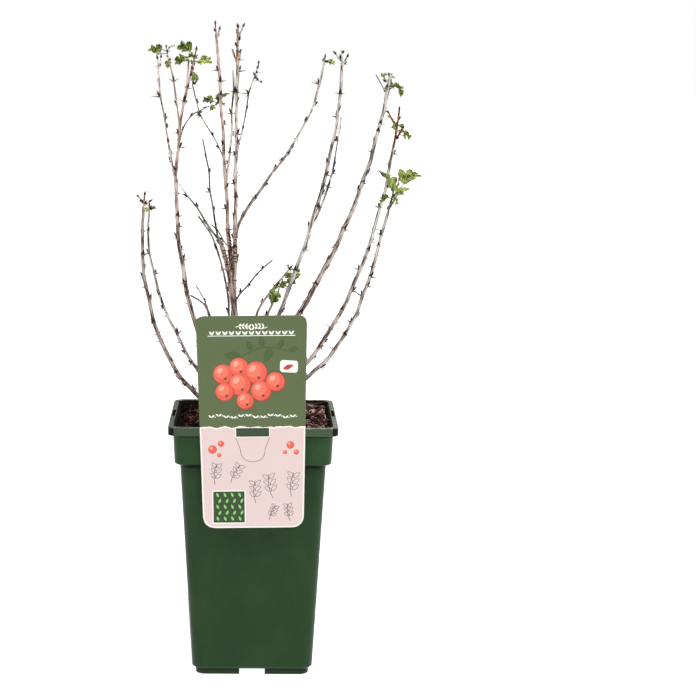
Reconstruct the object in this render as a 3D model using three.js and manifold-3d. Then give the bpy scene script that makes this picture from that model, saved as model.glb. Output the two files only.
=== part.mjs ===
// Gooseberry bush in early spring, in its tall square pot with a hang card.
// Millimetres and degrees, +Z up, origin on the floor under the middle of the pot.

import * as THREE from 'three';
import { mergeVertices } from 'three/addons/utils/BufferGeometryUtils.js';
import Module from 'manifold-3d';

const wasm = await Module();
wasm.setup();

// ---- Driving dimensions ----

const gap = 0.3;            // air left between two solids that touch on the real plant

const pot = {
  height: 200,
  rimHalf: 65,              // half the width across the lip, a 13 cm pot
  lipHeight: 6.6,
  lipInnerHalf: 60.9,
  ledgeDepth: 1.7,          // step inside the lip
  collarTopHalf: 61.2,
  collarBottomHalf: 60.1,
  collarBottom: 170,
  bodyTop: 168,
  bodyTopHalf: 56,
  bodyBottomHalf: 47,
  footHalf: 44.1,
  footHeight: 5.4,
  footWidth: 11,
  footChannel: 20,          // clear width between two feet
  padRadius: 5,
  floor: 2,
  wall: 1.6,
  cornerRadius: 8.5,
  cornerSteps: 3,
  innerInset: 1.5,          // how much tighter the inside corners are
  footInset: 2,
  edge: 0.7,                // small bevels of the feet, the lip and the collar
  heel: 1.4,                // bevel where the body meets its floor
  drainRadius: 4,
  drainPlace: 24,
  slotLength: 27,
  slotWidth: 2.2,
  slotHalf: 62.7            // distance of a card slot's middle from the pot's axis
};

const soil = {
  level: 191,
  edgeLevel: 190,
  lump: 4.6,
  hollow: -0.6,             // deepest dip as a share of the highest lump
  rings: [0.86, 0.7, 0.54, 0.38, 0.2],
  flatRadius: 20,           // level round the stem's foot
  seed: 11
};

const card = {
  topWidth: 84,
  bottomWidth: 76.4,
  top: 286,
  bottom: 123,
  thickness: 0.6,
  tilt: -0.9,
  topCorner: 7,
  bottomCorner: 10,
  windowWidth: 25,
  windowBottom: 193.6,
  tongueWidth: 22,
  tongueBottom: 186,
  middle: -0.4
};

// One row for each stem, spur and twig. It starts in the axis of the limb it stands on, at
// a share of that limb's length. Azimuth turns from +X to +Y; reach and rise lead from its
// foot to its tip; lean is its slope from upright at foot and tip, and pull says how far
// each end keeps that slope; radius is at foot and tip.
const limbs = {
  trunk: { on: null, at: 0, azimuth: -135, reach: 4, rise: 147, lean: [15, -4],
    pull: [0.1, 0.25], radius: [3.1, 1.65] },
  centre_stem: { on: 'trunk', at: 1, azimuth: -82, reach: 9, rise: 145, lean: [0, 8],
    pull: [0.1, 0.35], radius: [1.65, 1.15] },
  middle_stem: { on: 'trunk', at: 0.72, azimuth: 115, reach: 35, rise: 195, lean: [24, 13],
    pull: [0.15, 0.3], radius: [1.7, 1.0] },
  knuckle_spur: { on: 'trunk', at: 0.64, azimuth: -129, reach: 16, rise: 54, lean: [30, 30],
    pull: [0.1, 0.45], radius: [1.9, 1.5] },
  diagonal_shoot: { on: 'knuckle_spur', at: 1, azimuth: -118, reach: 64, rise: 48,
    lean: [57, 57], pull: [0.3, 0.35], radius: [0.75, 0.5] },
  back_left_shoot: { on: 'knuckle_spur', at: 0.88, azimuth: 104, reach: 77, rise: 85,
    lean: [66, 50], pull: [0.5, 0.4], radius: [0.8, 0.5] },
  slim_shoot: { on: 'trunk', at: 0.24, azimuth: 131, reach: 47, rise: 139, lean: [25, 54],
    pull: [0.25, 0.45], radius: [0.9, 0.5] },
  inner_left_stem: { on: 'trunk', at: 0.13, azimuth: -138, reach: 49, rise: 260,
    lean: [42, -19], pull: [0.3, 0.35], radius: [2.0, 0.8] },
  left_fork: { on: 'inner_left_stem', at: 0.87, azimuth: 106, reach: 33, rise: 48,
    lean: [22, 46], pull: [0.4, 0.3], radius: [0.9, 0.6] },
  outer_left_fork: { on: 'inner_left_stem', at: 0.72, azimuth: -108, reach: 37, rise: 84,
    lean: [27, 13], pull: [0.4, 0.35], radius: [0.9, 0.55] },
  low_left_stem: { on: 'trunk', at: 0.05, azimuth: -139, reach: 93, rise: 172,
    lean: [70, -7], pull: [0.4, 0.35], radius: [1.8, 1.05] },
  high_left_stem: { on: 'trunk', at: 0.09, azimuth: 141, reach: 93, rise: 159,
    lean: [59, -9], pull: [0.3, 0.35], radius: [1.2, 0.6] },
  back_right_bough: { on: 'centre_stem', at: 0.05, azimuth: 51, reach: 113, rise: 133,
    lean: [28, 13], pull: [0.25, 0.4], radius: [1.2, 0.65] },
  front_right_spur: { on: 'trunk', at: 0.67, azimuth: -65, reach: 69, rise: 40,
    lean: [54, 66], pull: [0.3, 0.4], radius: [0.7, 0.5] },
  front_right_stem: { on: 'trunk', at: 0.2, azimuth: -36, reach: 96, rise: 260,
    lean: [33, 0], pull: [0.3, 0.25], radius: [1.9, 1.0] },
  front_right_fork: { on: 'front_right_stem', at: 0.54, azimuth: 50, reach: 37, rise: 83,
    lean: [56, 6], pull: [0.2, 0.35], radius: [0.9, 0.55] },
  inner_right_stem: { on: 'trunk', at: 0.17, azimuth: 29, reach: 137, rise: 247,
    lean: [41, 12], pull: [0.45, 0.3], radius: [2.1, 1.2] },
  middle_right_stem: { on: 'trunk', at: 0.1, azimuth: 9, reach: 124, rise: 214,
    lean: [69, 9], pull: [0.3, 0.4], radius: [1.7, 1.05] },
  outer_right_stem: { on: 'trunk', at: 0.06, azimuth: -20, reach: 121, rise: 166,
    lean: [64, 15], pull: [0.5, 0.4], radius: [1.7, 1.1] },
  middle_side_twig: { on: 'middle_stem', at: 0.48, azimuth: 84, reach: 45, rise: 90,
    lean: [60, -30], pull: [0.25, 0.25], radius: [0.75, 0.5] },
  middle_back_twig: { on: 'middle_stem', at: 0.57, azimuth: 110, reach: 79, rise: 57,
    lean: [26, 18], pull: [0.15, 0.3], radius: [0.55, 0.45] },
  centre_side_twig: { on: 'centre_stem', at: 0.52, azimuth: -79, reach: 69, rise: 60,
    lean: [57, 64], pull: [0.4, 0.35], radius: [0.7, 0.5] },
  low_front_twig: { on: 'trunk', at: 0.3, azimuth: -117, reach: 65, rise: 85,
    lean: [34, 47], pull: [0.45, 0.35], radius: [0.55, 0.45] },
  low_back_twig: { on: 'trunk', at: 0.42, azimuth: -162, reach: 36, rise: 53,
    lean: [51, 72], pull: [0.5, 0.35], radius: [0.6, 0.5] },
  short_spur: { on: 'middle_stem', at: 0.25, azimuth: 165, reach: 15, rise: 18,
    lean: [50, 55], pull: [0.3, 0.4], radius: [0.6, 0.5] },
  leafy_back_spur: { on: 'trunk', at: 0.31, azimuth: 38, reach: 52, rise: 86,
    lean: [30, 52], pull: [0.5, 0.6], radius: [1.0, 0.6] },
  leafy_front_spur: { on: 'trunk', at: 0.29, azimuth: -48, reach: 46, rise: 76,
    lean: [59, 35], pull: [0.25, 0.3], radius: [0.9, 0.55] },
  hooked_twig: { on: 'inner_left_stem', at: 0.82, azimuth: 70, reach: 72, rise: 29,
    lean: [24, 83], pull: [0.4, 0.15], radius: [0.6, 0.45] }
};

// A mass at the tip of a limb: a stem of the given length goes on from the tip, with side
// twigs that open from it by the spread, and leaves on short stalks. The seed settles the
// rest. Nothing of it goes further from the limb's tip than its reach.
const tufts = {
  left_fork_tuft: { on: 'left_fork', stem: 16, twigs: 0, spread: 21, leaves: 1,
    leaf: 13, reach: 26, seed: 366 },
  inner_left_tuft: { on: 'inner_left_stem', stem: 23, twigs: 1, spread: 9, leaves: 4,
    leaf: 11, reach: 34, seed: 41571 },
  outer_left_tuft: { on: 'outer_left_fork', stem: 9, twigs: 1, spread: 28, leaves: 0,
    leaf: 9, reach: 14, seed: 4178 },
  low_left_tuft: { on: 'low_left_stem', stem: 9, twigs: 2, spread: 59, leaves: 0,
    leaf: 6, reach: 16, seed: 1587 },
  high_left_tuft: { on: 'high_left_stem', stem: 3, twigs: 1, spread: 72, leaves: 2,
    leaf: 4, reach: 12, seed: 5940 },
  hooked_tuft: { on: 'hooked_twig', stem: 10, twigs: 0, spread: 43, leaves: 4,
    leaf: 11, reach: 18, seed: 5805 },
  middle_back_tuft: { on: 'middle_back_twig', stem: 4, twigs: 1, spread: 48, leaves: 0,
    leaf: 6, reach: 10, seed: 9104 },
  middle_tuft: { on: 'middle_stem', stem: 13, twigs: 1, spread: 33, leaves: 0,
    leaf: 6, reach: 18, seed: 6525 },
  centre_tuft: { on: 'centre_stem', stem: 19, twigs: 2, spread: 45, leaves: 0,
    leaf: 5, reach: 24, seed: 3572 },
  centre_side_tuft: { on: 'centre_side_twig', stem: 23, twigs: 1, spread: 51, leaves: 0,
    leaf: 5, reach: 26, seed: 6288 },
  back_right_tuft: { on: 'back_right_bough', stem: 4, twigs: 1, spread: 80, leaves: 1,
    leaf: 6, reach: 14, seed: 4112 },
  front_right_tuft: { on: 'front_right_stem', stem: 14, twigs: 2, spread: 43, leaves: 0,
    leaf: 6, reach: 20, seed: 9577 },
  inner_right_tuft: { on: 'inner_right_stem', stem: 14, twigs: 2, spread: 67, leaves: 4,
    leaf: 11, reach: 26, seed: 92089 },
  middle_right_tuft: { on: 'middle_right_stem', stem: 26, twigs: 2, spread: 64, leaves: 4,
    leaf: 8, reach: 34, seed: 78410 },
  outer_right_tuft: { on: 'outer_right_stem', stem: 24, twigs: 1, spread: 23, leaves: 4,
    leaf: 15, reach: 42, seed: 7091 },
  leafy_back_tuft: { on: 'leafy_back_spur', stem: 3, twigs: 0, spread: 24, leaves: 2,
    leaf: 9, reach: 20, seed: 6641 },
  leafy_front_tuft: { on: 'leafy_front_spur', stem: 3, twigs: 0, spread: 33, leaves: 3,
    leaf: 12, reach: 22, seed: 5147 }
};

// How a mass grows. A pair is the least value and how far above it the seed may go.
const growth = {
  lengths: 3,               // straight lengths in a twig
  lift: 0.12,               // turn towards the light from one length to the next
  mainTwig: 0.95,           // radii as shares of the limb's tip
  sideTwig: 0.75,
  twigTip: 0.6,             // radius at a twig's tip as a share of that at its foot
  sideRoot: [0.15, 0.4],
  sideTurn: [0, 0.5],
  sideOpening: [0.7, 0.6],
  sideLength: [0.6, 0.6],
  leafRoot: [0.3, 0.65],
  leafTurn: [0, 1],
  leafOpening: [50, 45],
  stalk: [0.35, 0.5],
  leafLength: [0.7, 0.45],
  droop: [-20, 80],
  roll: [-60, 120],
  stalkSunk: 0.14,          // share of the blade that the stalk runs into
  halfWidth: 0.35           // share of the leaf's length kept clear round its middle
};

const node = {
  least: 3,                 // shortest limb in lengths between buds
  spacing: 17,              // from one bud to the next along a limb
  zigzag: 0.45,
  turn: 137.5,              // from one bud to the next round a limb
  spine: [82, 0.5, 5.4],    // opening from the limb, thickness and length
  bud: [34, 0.8, 3],
  size: [0.75, 0.5],        // least size of a spine or bud, and how much the seed may add
  sunk: 0.5,                // place of its foot as a share of the limb's radius
  armed: 0.62,              // share of the nodes that show their spine, not their bud
  bareShare: 0.1            // no spines on this much of a limb at its foot
};

const flare = { radius: 3.2, height: 0.13 };   // widening of the trunk's foot

const leafOutline = [       // one side, along and across, as shares of the leaf's length
  [0.02, 0.12], [0.13, 0.4], [0.36, 0.53], [0.46, 0.27], [0.79, 0.4], [0.8, 0.17]
];
const leafHeart = 0.42;     // middle of the blade along its length
const leafThickness = 0.5;
const leafFold = 0.18;
const stalkRadius = 0.42;

const faces = { trunk: 8, limb: 5, stalk: 3, bore: 12 };   // round each of these
const clearance = 1;        // from a leaf or spine to the limbs near it
const thinLimb = 0.95;      // limbs no thicker at the foot have the dark bark

const colours = {
  plastic: 0x30452b, mulch: 0x3b2a22, card: 0x667a54, bark: 0xb8a095, darkBark: 0x5a4a42,
  leaf: 0x6f9138
};

// ---- Small tools ----

const up = new THREE.Vector3(0, 0, 1);
const radians = THREE.MathUtils.degToRad;
const mix = THREE.MathUtils.lerp;

// A repeatable row of numbers from 0 to 1.
function seeded(seed) {
  let state = seed >>> 0;
  return () => {
    state = (Math.imul(state, 1664525) + 1013904223) >>> 0;
    return state / 4294967296;
  };
}

// Direction that leaves an axis at an opening angle, at a turn round it counted from +X.
function around(axis, turn, opening) {
  const u = new THREE.Vector3(1, 0, 0).addScaledVector(axis, -axis.x).normalize();
  const v = new THREE.Vector3().crossVectors(axis, u);
  const side = u.multiplyScalar(Math.cos(turn)).addScaledVector(v, Math.sin(turn));
  return side.multiplyScalar(Math.sin(opening)).addScaledVector(axis, Math.cos(opening));
}

// Point at a share of a row of points.
function along(points, share) {
  const place = share * (points.length - 1);
  const index = Math.min(Math.floor(place), points.length - 2);
  return points[index].clone().lerp(points[index + 1], place - index);
}

function geometryOf(points, triangles) {
  const geometry = new THREE.BufferGeometry();
  const flat = points.flatMap((point) => [point.x, point.y, point.z]);
  geometry.setAttribute('position', new THREE.Float32BufferAttribute(flat, 3));
  geometry.setIndex(triangles);
  return geometry;
}

// Closed skin over a row of rings with the same number of points, each turning left round
// the way the row goes.
function loft(rings) {
  const count = rings[0].length;
  const points = rings.flat();
  const triangles = [];
  for (let row = 0; row + 1 < rings.length; row += 1) {
    for (let side = 0; side < count; side += 1) {
      const a = row * count + side;
      const b = row * count + ((side + 1) % count);
      triangles.push(a, b, b + count, a, b + count, a + count);
    }
  }
  const last = (rings.length - 1) * count;
  for (let side = 1; side + 1 < count; side += 1) {
    triangles.push(0, side + 1, side, last, last + side, last + side + 1);
  }
  return geometryOf(points, triangles);
}

function toSolid(geometry) {
  geometry.deleteAttribute('normal');
  geometry.deleteAttribute('uv');
  const merged = mergeVertices(geometry, 1e-5);
  return new wasm.Manifold(new wasm.Mesh({
    numProp: 3,
    vertProperties: merged.attributes.position.array,
    triVerts: Uint32Array.from(merged.index.array)
  }));
}

function toGeometry(solid) {
  const mesh = solid.getMesh();
  const geometry = new THREE.BufferGeometry();
  geometry.setAttribute('position', new THREE.BufferAttribute(mesh.vertProperties, 3));
  geometry.setIndex(new THREE.BufferAttribute(mesh.triVerts, 1));
  geometry.computeVertexNormals();
  return geometry;
}

function box(low, high) {
  const size = high.map((value, axis) => value - low[axis]);
  const geometry = new THREE.BoxGeometry(...size);
  geometry.translate(...low.map((value, axis) => value + size[axis] / 2));
  return toSolid(geometry);
}

function upright(radius, bottom, top, x, y) {
  const geometry = new THREE.CylinderGeometry(radius, radius, top - bottom, faces.bore);
  geometry.rotateX(Math.PI / 2);
  geometry.translate(x, y, (bottom + top) / 2);
  return toSolid(geometry);
}

// Tapering round limb through points, with a radius at each.
function tube(points, radii, sides) {
  const rings = points.map((point, index) => {
    const before = points[Math.max(index - 1, 0)];
    const after = points[Math.min(index + 1, points.length - 1)];
    const axis = new THREE.Vector3().subVectors(after, before).normalize();
    return Array.from({ length: sides }, (_, side) =>
      around(axis, (2 * Math.PI * side) / sides, Math.PI / 2)
        .multiplyScalar(radii[index]).add(point));
  });
  return toSolid(loft(rings));
}

// Three-sided spike, such as a spine or a closed bud.
function spike(foot, direction, radius, length) {
  const base = [0, 1, 2].map((side) =>
    around(direction, (2 * Math.PI * side) / 3, Math.PI / 2)
      .multiplyScalar(radius).add(foot));
  const tip = foot.clone().addScaledVector(direction, length);
  return toSolid(geometryOf([...base, tip], [0, 2, 1, 0, 1, 3, 1, 2, 3, 2, 0, 3]));
}

// ---- Pot, soil and card ----

function roundedSquare(half, radius, z) {
  const ring = [];
  for (let corner = 0; corner < 4; corner += 1) {
    const middle = radians(45 + 90 * corner);
    const cx = Math.sign(Math.cos(middle)) * (half - radius);
    const cy = Math.sign(Math.sin(middle)) * (half - radius);
    for (let step = 0; step <= pot.cornerSteps; step += 1) {
      const angle = middle + radians(90 * (step / pot.cornerSteps - 0.5));
      ring.push(new THREE.Vector3(
        cx + radius * Math.cos(angle), cy + radius * Math.sin(angle), z));
    }
  }
  return ring;
}

function squareStack(rows) {
  return loft(rows.map(([z, half, inset = 0]) =>
    roundedSquare(half, pot.cornerRadius - inset, z)));
}

const lipBottom = pot.height - pot.lipHeight;
const floorTop = pot.footHeight + pot.floor;

// Half widths of the inside from the floor up, reduced by some clearance.
function insideRows(clearance) {
  const thickness = pot.wall + clearance;
  const inset = pot.innerInset;
  return [
    [floorTop + clearance, pot.bodyBottomHalf - thickness, inset],
    [pot.bodyTop, pot.bodyTopHalf - thickness, inset],
    [pot.collarBottom + thickness, pot.collarBottomHalf - thickness, inset]
  ];
}

function makePot() {
  const foot = pot.footHeight;
  const { edge, heel, footInset, innerInset } = pot;
  const outer = squareStack([
    [0, pot.footHalf - edge, footInset], [edge, pot.footHalf, footInset],
    [foot, pot.footHalf, footInset], [foot, pot.bodyBottomHalf - heel],
    [foot + heel, pot.bodyBottomHalf], [pot.bodyTop, pot.bodyTopHalf],
    [pot.collarBottom, pot.collarBottomHalf - edge],
    [pot.collarBottom + edge, pot.collarBottomHalf], [lipBottom, pot.collarTopHalf],
    [lipBottom, pot.rimHalf], [pot.height - edge, pot.rimHalf],
    [pot.height, pot.rimHalf - edge]
  ]);
  const inner = squareStack([
    ...insideRows(0),
    [pot.height - pot.ledgeDepth, pot.collarTopHalf - pot.wall, innerInset],
    [pot.height - pot.ledgeDepth, pot.lipInnerHalf, innerInset],
    [pot.height + 1, pot.lipInnerHalf, innerInset]
  ]);
  let shell = toSolid(outer).subtract(toSolid(inner));

  const far = pot.rimHalf;
  const channel = pot.footChannel / 2;
  const recess = pot.footHalf - pot.footWidth;
  shell = shell.subtract(box([-far, -channel, -1], [far, channel, foot]));
  shell = shell.subtract(box([-channel, -far, -1], [channel, far, foot]));
  shell = shell.subtract(box([-recess, -recess, -1], [recess, recess, foot]));
  shell = shell.add(upright(pot.padRadius, 0, foot + 1, 0, 0));

  const near = pot.slotHalf - pot.slotWidth / 2;
  const out = pot.slotHalf + pot.slotWidth / 2;
  const reach = pot.slotLength / 2;
  for (const side of [-1, 1]) {
    const [low, high] = side < 0 ? [-out, -near] : [near, out];
    shell = shell.subtract(box([low, -reach, lipBottom - 1], [high, reach, pot.height + 1]));
    shell = shell.subtract(box([-reach, low, lipBottom - 1], [reach, high, pot.height + 1]));
    for (const other of [-1, 1]) {
      const [x, y] = [side * pot.drainPlace, other * pot.drainPlace];
      shell = shell.subtract(upright(pot.drainRadius, 0, floorTop + 1, x, y));
    }
  }
  return toGeometry(shell);
}

function makeSoil(stemFoot) {
  const next = seeded(soil.seed);
  const collarShare = (soil.edgeLevel - pot.collarBottom) / (lipBottom - pot.collarBottom);
  const collarHalf = mix(pot.collarBottomHalf, pot.collarTopHalf, collarShare);
  const edgeHalf = collarHalf - pot.wall - gap;
  const rings = insideRows(gap).map(([z, half, inset]) =>
    roundedSquare(half, pot.cornerRadius - inset, z));
  rings.push(roundedSquare(edgeHalf, pot.cornerRadius - pot.innerInset, soil.edgeLevel));
  for (const share of soil.rings) {
    const ring = roundedSquare(edgeHalf * share, pot.cornerRadius * share, soil.level);
    for (const point of ring) {
      const away = Math.hypot(point.x - stemFoot.x, point.y - stemFoot.y);
      const lump = soil.lump * (soil.hollow + (1 - soil.hollow) * next());
      point.z += lump * THREE.MathUtils.smoothstep(away, soil.flatRadius, 2 * soil.flatRadius);
    }
    rings.push(ring);
  }
  return toGeometry(toSolid(loft(rings)));
}

// Card that hangs in front of the lip, held by a tongue behind the lip's outer strip.
function makeCard() {
  const back = -(pot.rimHalf + gap);
  const windowTop = pot.height + gap;
  const shape = new THREE.Shape();
  const topHalf = card.topWidth / 2;
  const bottomHalf = card.bottomWidth / 2;
  const corners = [
    [-bottomHalf, card.bottom, card.bottomCorner], [bottomHalf, card.bottom, card.bottomCorner],
    [topHalf, card.top, card.topCorner], [-topHalf, card.top, card.topCorner]
  ];
  corners.forEach(([x, z, radius], index) => {
    const from = new THREE.Vector2(...corners[(index + 3) % 4]);
    const to = new THREE.Vector2(...corners[(index + 1) % 4]);
    const corner = new THREE.Vector2(x, z);
    const enter = from.sub(corner).setLength(radius).add(corner);
    const leave = to.sub(corner).setLength(radius).add(corner);
    shape[index === 0 ? 'moveTo' : 'lineTo'](enter.x, enter.y);
    shape.quadraticCurveTo(x, z, leave.x, leave.y);
  });
  const halfWindow = card.windowWidth / 2;
  const hole = new THREE.Path();
  hole.moveTo(-halfWindow, card.windowBottom);
  hole.lineTo(-halfWindow, windowTop);
  hole.lineTo(halfWindow, windowTop);
  hole.lineTo(halfWindow, card.windowBottom);
  hole.closePath();
  shape.holes.push(hole);
  const sheet = new THREE.ExtrudeGeometry(shape, {
    depth: card.thickness, bevelEnabled: false, curveSegments: 5
  });
  sheet.rotateX(Math.PI / 2);
  sheet.translate(0, back, 0);

  const halfTongue = card.tongueWidth / 2;
  const tongueBack = -pot.slotHalf + card.thickness;
  const fold = box([-halfTongue, back - card.thickness / 2, windowTop],
    [halfTongue, tongueBack, windowTop + card.thickness]);
  const tongue = box([-halfTongue, tongueBack - card.thickness, card.tongueBottom],
    [halfTongue, tongueBack, windowTop + card.thickness]);
  const geometry = toGeometry(toSolid(sheet).add(fold).add(tongue));
  const level = card.windowBottom;
  geometry.translate(0, 0, -level);
  geometry.rotateY(radians(card.tilt));
  geometry.translate(card.middle, 0, level);
  return geometry;
}

// ---- Limbs ----

const groundFoot = new THREE.Vector3(-12, 0, soil.level + gap);
const curves = {};

function limbCurve(name) {
  if (curves[name]) {
    return curves[name];
  }
  const limb = limbs[name];
  let foot = groundFoot;
  if (limb.on) {
    foot = along(limbWay(limb.on), limb.at);
    if (limb.at === 1) {
      foot.addScaledVector(limbCurve(limb.on).getTangent(1), gap);
    }
  }
  const turn = radians(limb.azimuth);
  const out = new THREE.Vector3(Math.cos(turn), Math.sin(turn), 0);
  const tip = foot.clone().addScaledVector(out, limb.reach).addScaledVector(up, limb.rise);
  const span = foot.distanceTo(tip);
  const [footWay, tipWay] = limb.lean.map((lean) =>
    out.clone().multiplyScalar(Math.sin(radians(lean)))
      .addScaledVector(up, Math.cos(radians(lean))));
  const belly = foot.clone().addScaledVector(footWay, span * limb.pull[0]);
  const shoulder = tip.clone().addScaledVector(tipWay, -span * limb.pull[1]);
  curves[name] = new THREE.CubicBezierCurve3(foot, belly, shoulder, tip);
  return curves[name];
}

function limbRadius(name, share) {
  const [foot, tip] = limbs[name].radius;
  const widening = limbs[name].on ? 0 : flare.radius * Math.exp(-share / flare.height);
  return mix(foot, tip, share) + widening;
}

// Points of a limb from bud to bud, a little out of line at each.
function limbWay(name) {
  const curve = limbCurve(name);
  const steps = Math.max(node.least, Math.round(curve.getLength() / node.spacing));
  const points = [];
  for (let step = 0; step <= steps; step += 1) {
    const share = step / steps;
    const point = curve.getPoint(share);
    const turn = radians(node.turn * step);
    const inside = step > 0 && step < steps ? 1 : 0;
    point.addScaledVector(around(curve.getTangent(share), turn, Math.PI / 2),
      inside * node.zigzag);
    points.push(point);
  }
  return points;
}

const ways = Object.fromEntries(Object.keys(limbs).map((name) => [name, limbWay(name)]));

// Distance from a point to the nearest limb's surface, leaving one limb out.
function clearOfLimbs(point, except) {
  let least = Infinity;
  for (const [name, way] of Object.entries(ways)) {
    if (name !== except) {
      for (let index = 0; index + 1 < way.length; index += 1) {
        const near = new THREE.Line3(way[index], way[index + 1])
          .closestPointToPoint(point, true, new THREE.Vector3());
        const radius = limbRadius(name, index / (way.length - 1));
        least = Math.min(least, near.distanceTo(point) - radius);
      }
    }
  }
  return least;
}

// Room kept round a limb for the limbs that stand on it.
function cutter(name) {
  const way = ways[name];
  const tipWay = limbCurve(name).getTangent(1);
  const points = [...way.slice(0, -1), way.at(-1).clone().addScaledVector(tipWay, gap)];
  const radii = way.map((_, index) => limbRadius(name, index / (way.length - 1)) + gap);
  return tube(points, radii, faces.trunk);
}

// The trunk's foot, carried down a little and cut level with the soil.
function cutLevel(solid, foot, radius) {
  const below = foot.clone().addScaledVector(up, -radius);
  const stump = tube([below, foot.clone().addScaledVector(up, radius / 2)],
    [radius, radius * 0.9], faces.trunk);
  const reach = radius * 2;
  const ground = box([foot.x - reach, foot.y - reach, below.z - reach],
    [foot.x + reach, foot.y + reach, foot.z]);
  return solid.add(stump).subtract(ground);
}

function makeLimb(name) {
  const way = ways[name];
  const steps = way.length - 1;
  const radii = way.map((_, index) => limbRadius(name, index / steps));
  const next = seeded(name.length * 97 + steps);
  const curve = limbCurve(name);
  let solid = tube(way, radii, limbs[name].on ? faces.limb : faces.trunk);
  if (!limbs[name].on) {
    solid = cutLevel(solid, way[0], radii[0]);
  }
  for (let step = 1; step < steps; step += 1) {
    const share = step / steps;
    const axis = curve.getTangent(share);
    const turn = radians(node.turn * step);
    const size = node.size[0] + node.size[1] * next();
    const armed = next() < node.armed && share > node.bareShare;
    const [opening, thick, long] = armed ? node.spine : node.bud;
    const foot = way[step].clone()
      .addScaledVector(around(axis, turn, Math.PI / 2), radii[step] * node.sunk);
    const length = long * size + radii[step] * node.sunk;
    const direction = around(axis, turn, radians(opening));
    const end = foot.clone().addScaledVector(direction, length);
    if (Math.min(clearOfLimbs(end, name), clearOfLimbs(foot, name)) > clearance) {
      solid = solid.add(spike(foot, direction, thick, length));
    }
  }
  if (limbs[name].on) {
    solid = solid.subtract(cutter(limbs[name].on));
  }
  return toGeometry(solid);
}

// ---- Masses at the tips ----

// Bent twig that turns a little towards the light.
function twigWay(foot, direction, length) {
  const points = [foot.clone()];
  const way = direction.clone();
  for (let step = 0; step < growth.lengths; step += 1) {
    points.push(points[step].clone().addScaledVector(way, length / growth.lengths));
    way.addScaledVector(up, growth.lift).normalize();
  }
  return points;
}

// Twigs and leaves of a mass, by its seeded rule.
function growTuft(name) {
  const tuft = tufts[name];
  const next = seeded(tuft.seed);
  const draw = ([least, more]) => least + more * next();
  const axis = limbCurve(tuft.on).getTangent(1);
  const foot = limbCurve(tuft.on).getPoint(1).addScaledVector(axis, gap);
  const thick = limbRadius(tuft.on, 1);
  const main = twigWay(foot, axis, tuft.stem);
  const twigs = [{ points: main, radius: thick * growth.mainTwig }];
  const start = 2 * Math.PI * next();
  for (let index = 0; index < tuft.twigs; index += 1) {
    const share = (index + draw(growth.sideRoot)) / (tuft.twigs + 1);
    const turn = start + (2 * Math.PI * (index + draw(growth.sideTurn))) / tuft.twigs;
    const opening = radians(tuft.spread * draw(growth.sideOpening));
    const length = tuft.stem * (1 - share) * draw(growth.sideLength);
    const points = twigWay(along(main, share), around(axis, turn, opening), length);
    twigs.push({ points, radius: thick * growth.sideTwig });
  }
  const leaves = [];
  for (let index = 0; index < tuft.leaves; index += 1) {
    const root = along(twigs[index % twigs.length].points, draw(growth.leafRoot));
    const turn = start + radians(node.turn) * index + draw(growth.leafTurn);
    const way = around(axis, turn, radians(draw(growth.leafOpening)));
    const heel = root.clone().addScaledVector(way, tuft.leaf * draw(growth.stalk));
    const length = tuft.leaf * draw(growth.leafLength);
    const level = new THREE.Vector3().crossVectors(way, up).normalize();
    const forward = way.clone().applyAxisAngle(level, -radians(draw(growth.droop)));
    const across = level.applyAxisAngle(forward, radians(draw(growth.roll)));
    const tip = heel.clone().addScaledVector(forward, length);
    const far = Math.max(tip.distanceTo(foot), heel.distanceTo(foot));
    const middle = heel.clone().lerp(tip, 0.5);
    const room = Math.min(clearOfLimbs(tip), clearOfLimbs(middle) - length * growth.halfWidth);
    if (far < tuft.reach && room > clearance) {
      leaves.push({ root, heel, forward, across, length });
    }
  }
  return { twigs, leaves };
}

// Lobed blade, thickest in the middle and folded up along its rib.
function blade({ heel, forward, across, length }) {
  const normal = new THREE.Vector3().crossVectors(across, forward);
  const place = (ahead, sideways, lift) => heel.clone()
    .addScaledVector(forward, ahead * length)
    .addScaledVector(across, sideways * length)
    .addScaledVector(normal, Math.abs(sideways) * length * leafFold + lift);
  const right = leafOutline.map(([ahead, sideways]) => place(ahead, sideways, 0));
  const left = leafOutline.map(([ahead, sideways]) => place(ahead, -sideways, 0)).reverse();
  const rim = [place(0, 0, 0), ...right, place(1, 0, 0), ...left];
  const count = rim.length;
  const points = [...rim, place(leafHeart, 0, leafThickness / 2),
    place(leafHeart, 0, -leafThickness / 2)];
  const triangles = [];
  for (let side = 0; side < count; side += 1) {
    const after = (side + 1) % count;
    triangles.push(side, after, count, after, side, count + 1);
  }
  return toSolid(geometryOf(points, triangles));
}

function makeTuft(name) {
  const { twigs, leaves } = growTuft(name);
  let solid = null;
  for (const { points, radius } of twigs) {
    const radii = points.map((_, index) =>
      radius * mix(1, growth.twigTip, index / growth.lengths));
    const twig = tube(points, radii, faces.limb);
    solid = solid ? solid.add(twig) : twig;
  }
  for (const leaf of leaves) {
    const sunk = leaf.heel.clone()
      .addScaledVector(leaf.forward, leaf.length * growth.stalkSunk);
    const stalk = [leaf.root, sunk];
    solid = solid.add(tube(stalk, stalk.map(() => stalkRadius), faces.stalk));
    solid = solid.add(blade(leaf));
  }
  solid = solid.subtract(cutter(tufts[name].on));
  return toGeometry(solid);
}

// ---- The whole plant ----

const finishes = {
  plastic: { color: colours.plastic, roughness: 0.45, metalness: 0 },
  mulch: { color: colours.mulch, roughness: 0.95, metalness: 0 },
  card: { color: colours.card, roughness: 0.5, metalness: 0 },
  bark: { color: colours.bark, roughness: 0.8, metalness: 0 },
  darkBark: { color: colours.darkBark, roughness: 0.85, metalness: 0 },
  leaf: { color: colours.leaf, roughness: 0.6, metalness: 0 }
};

const bush = new THREE.Group();

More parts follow.
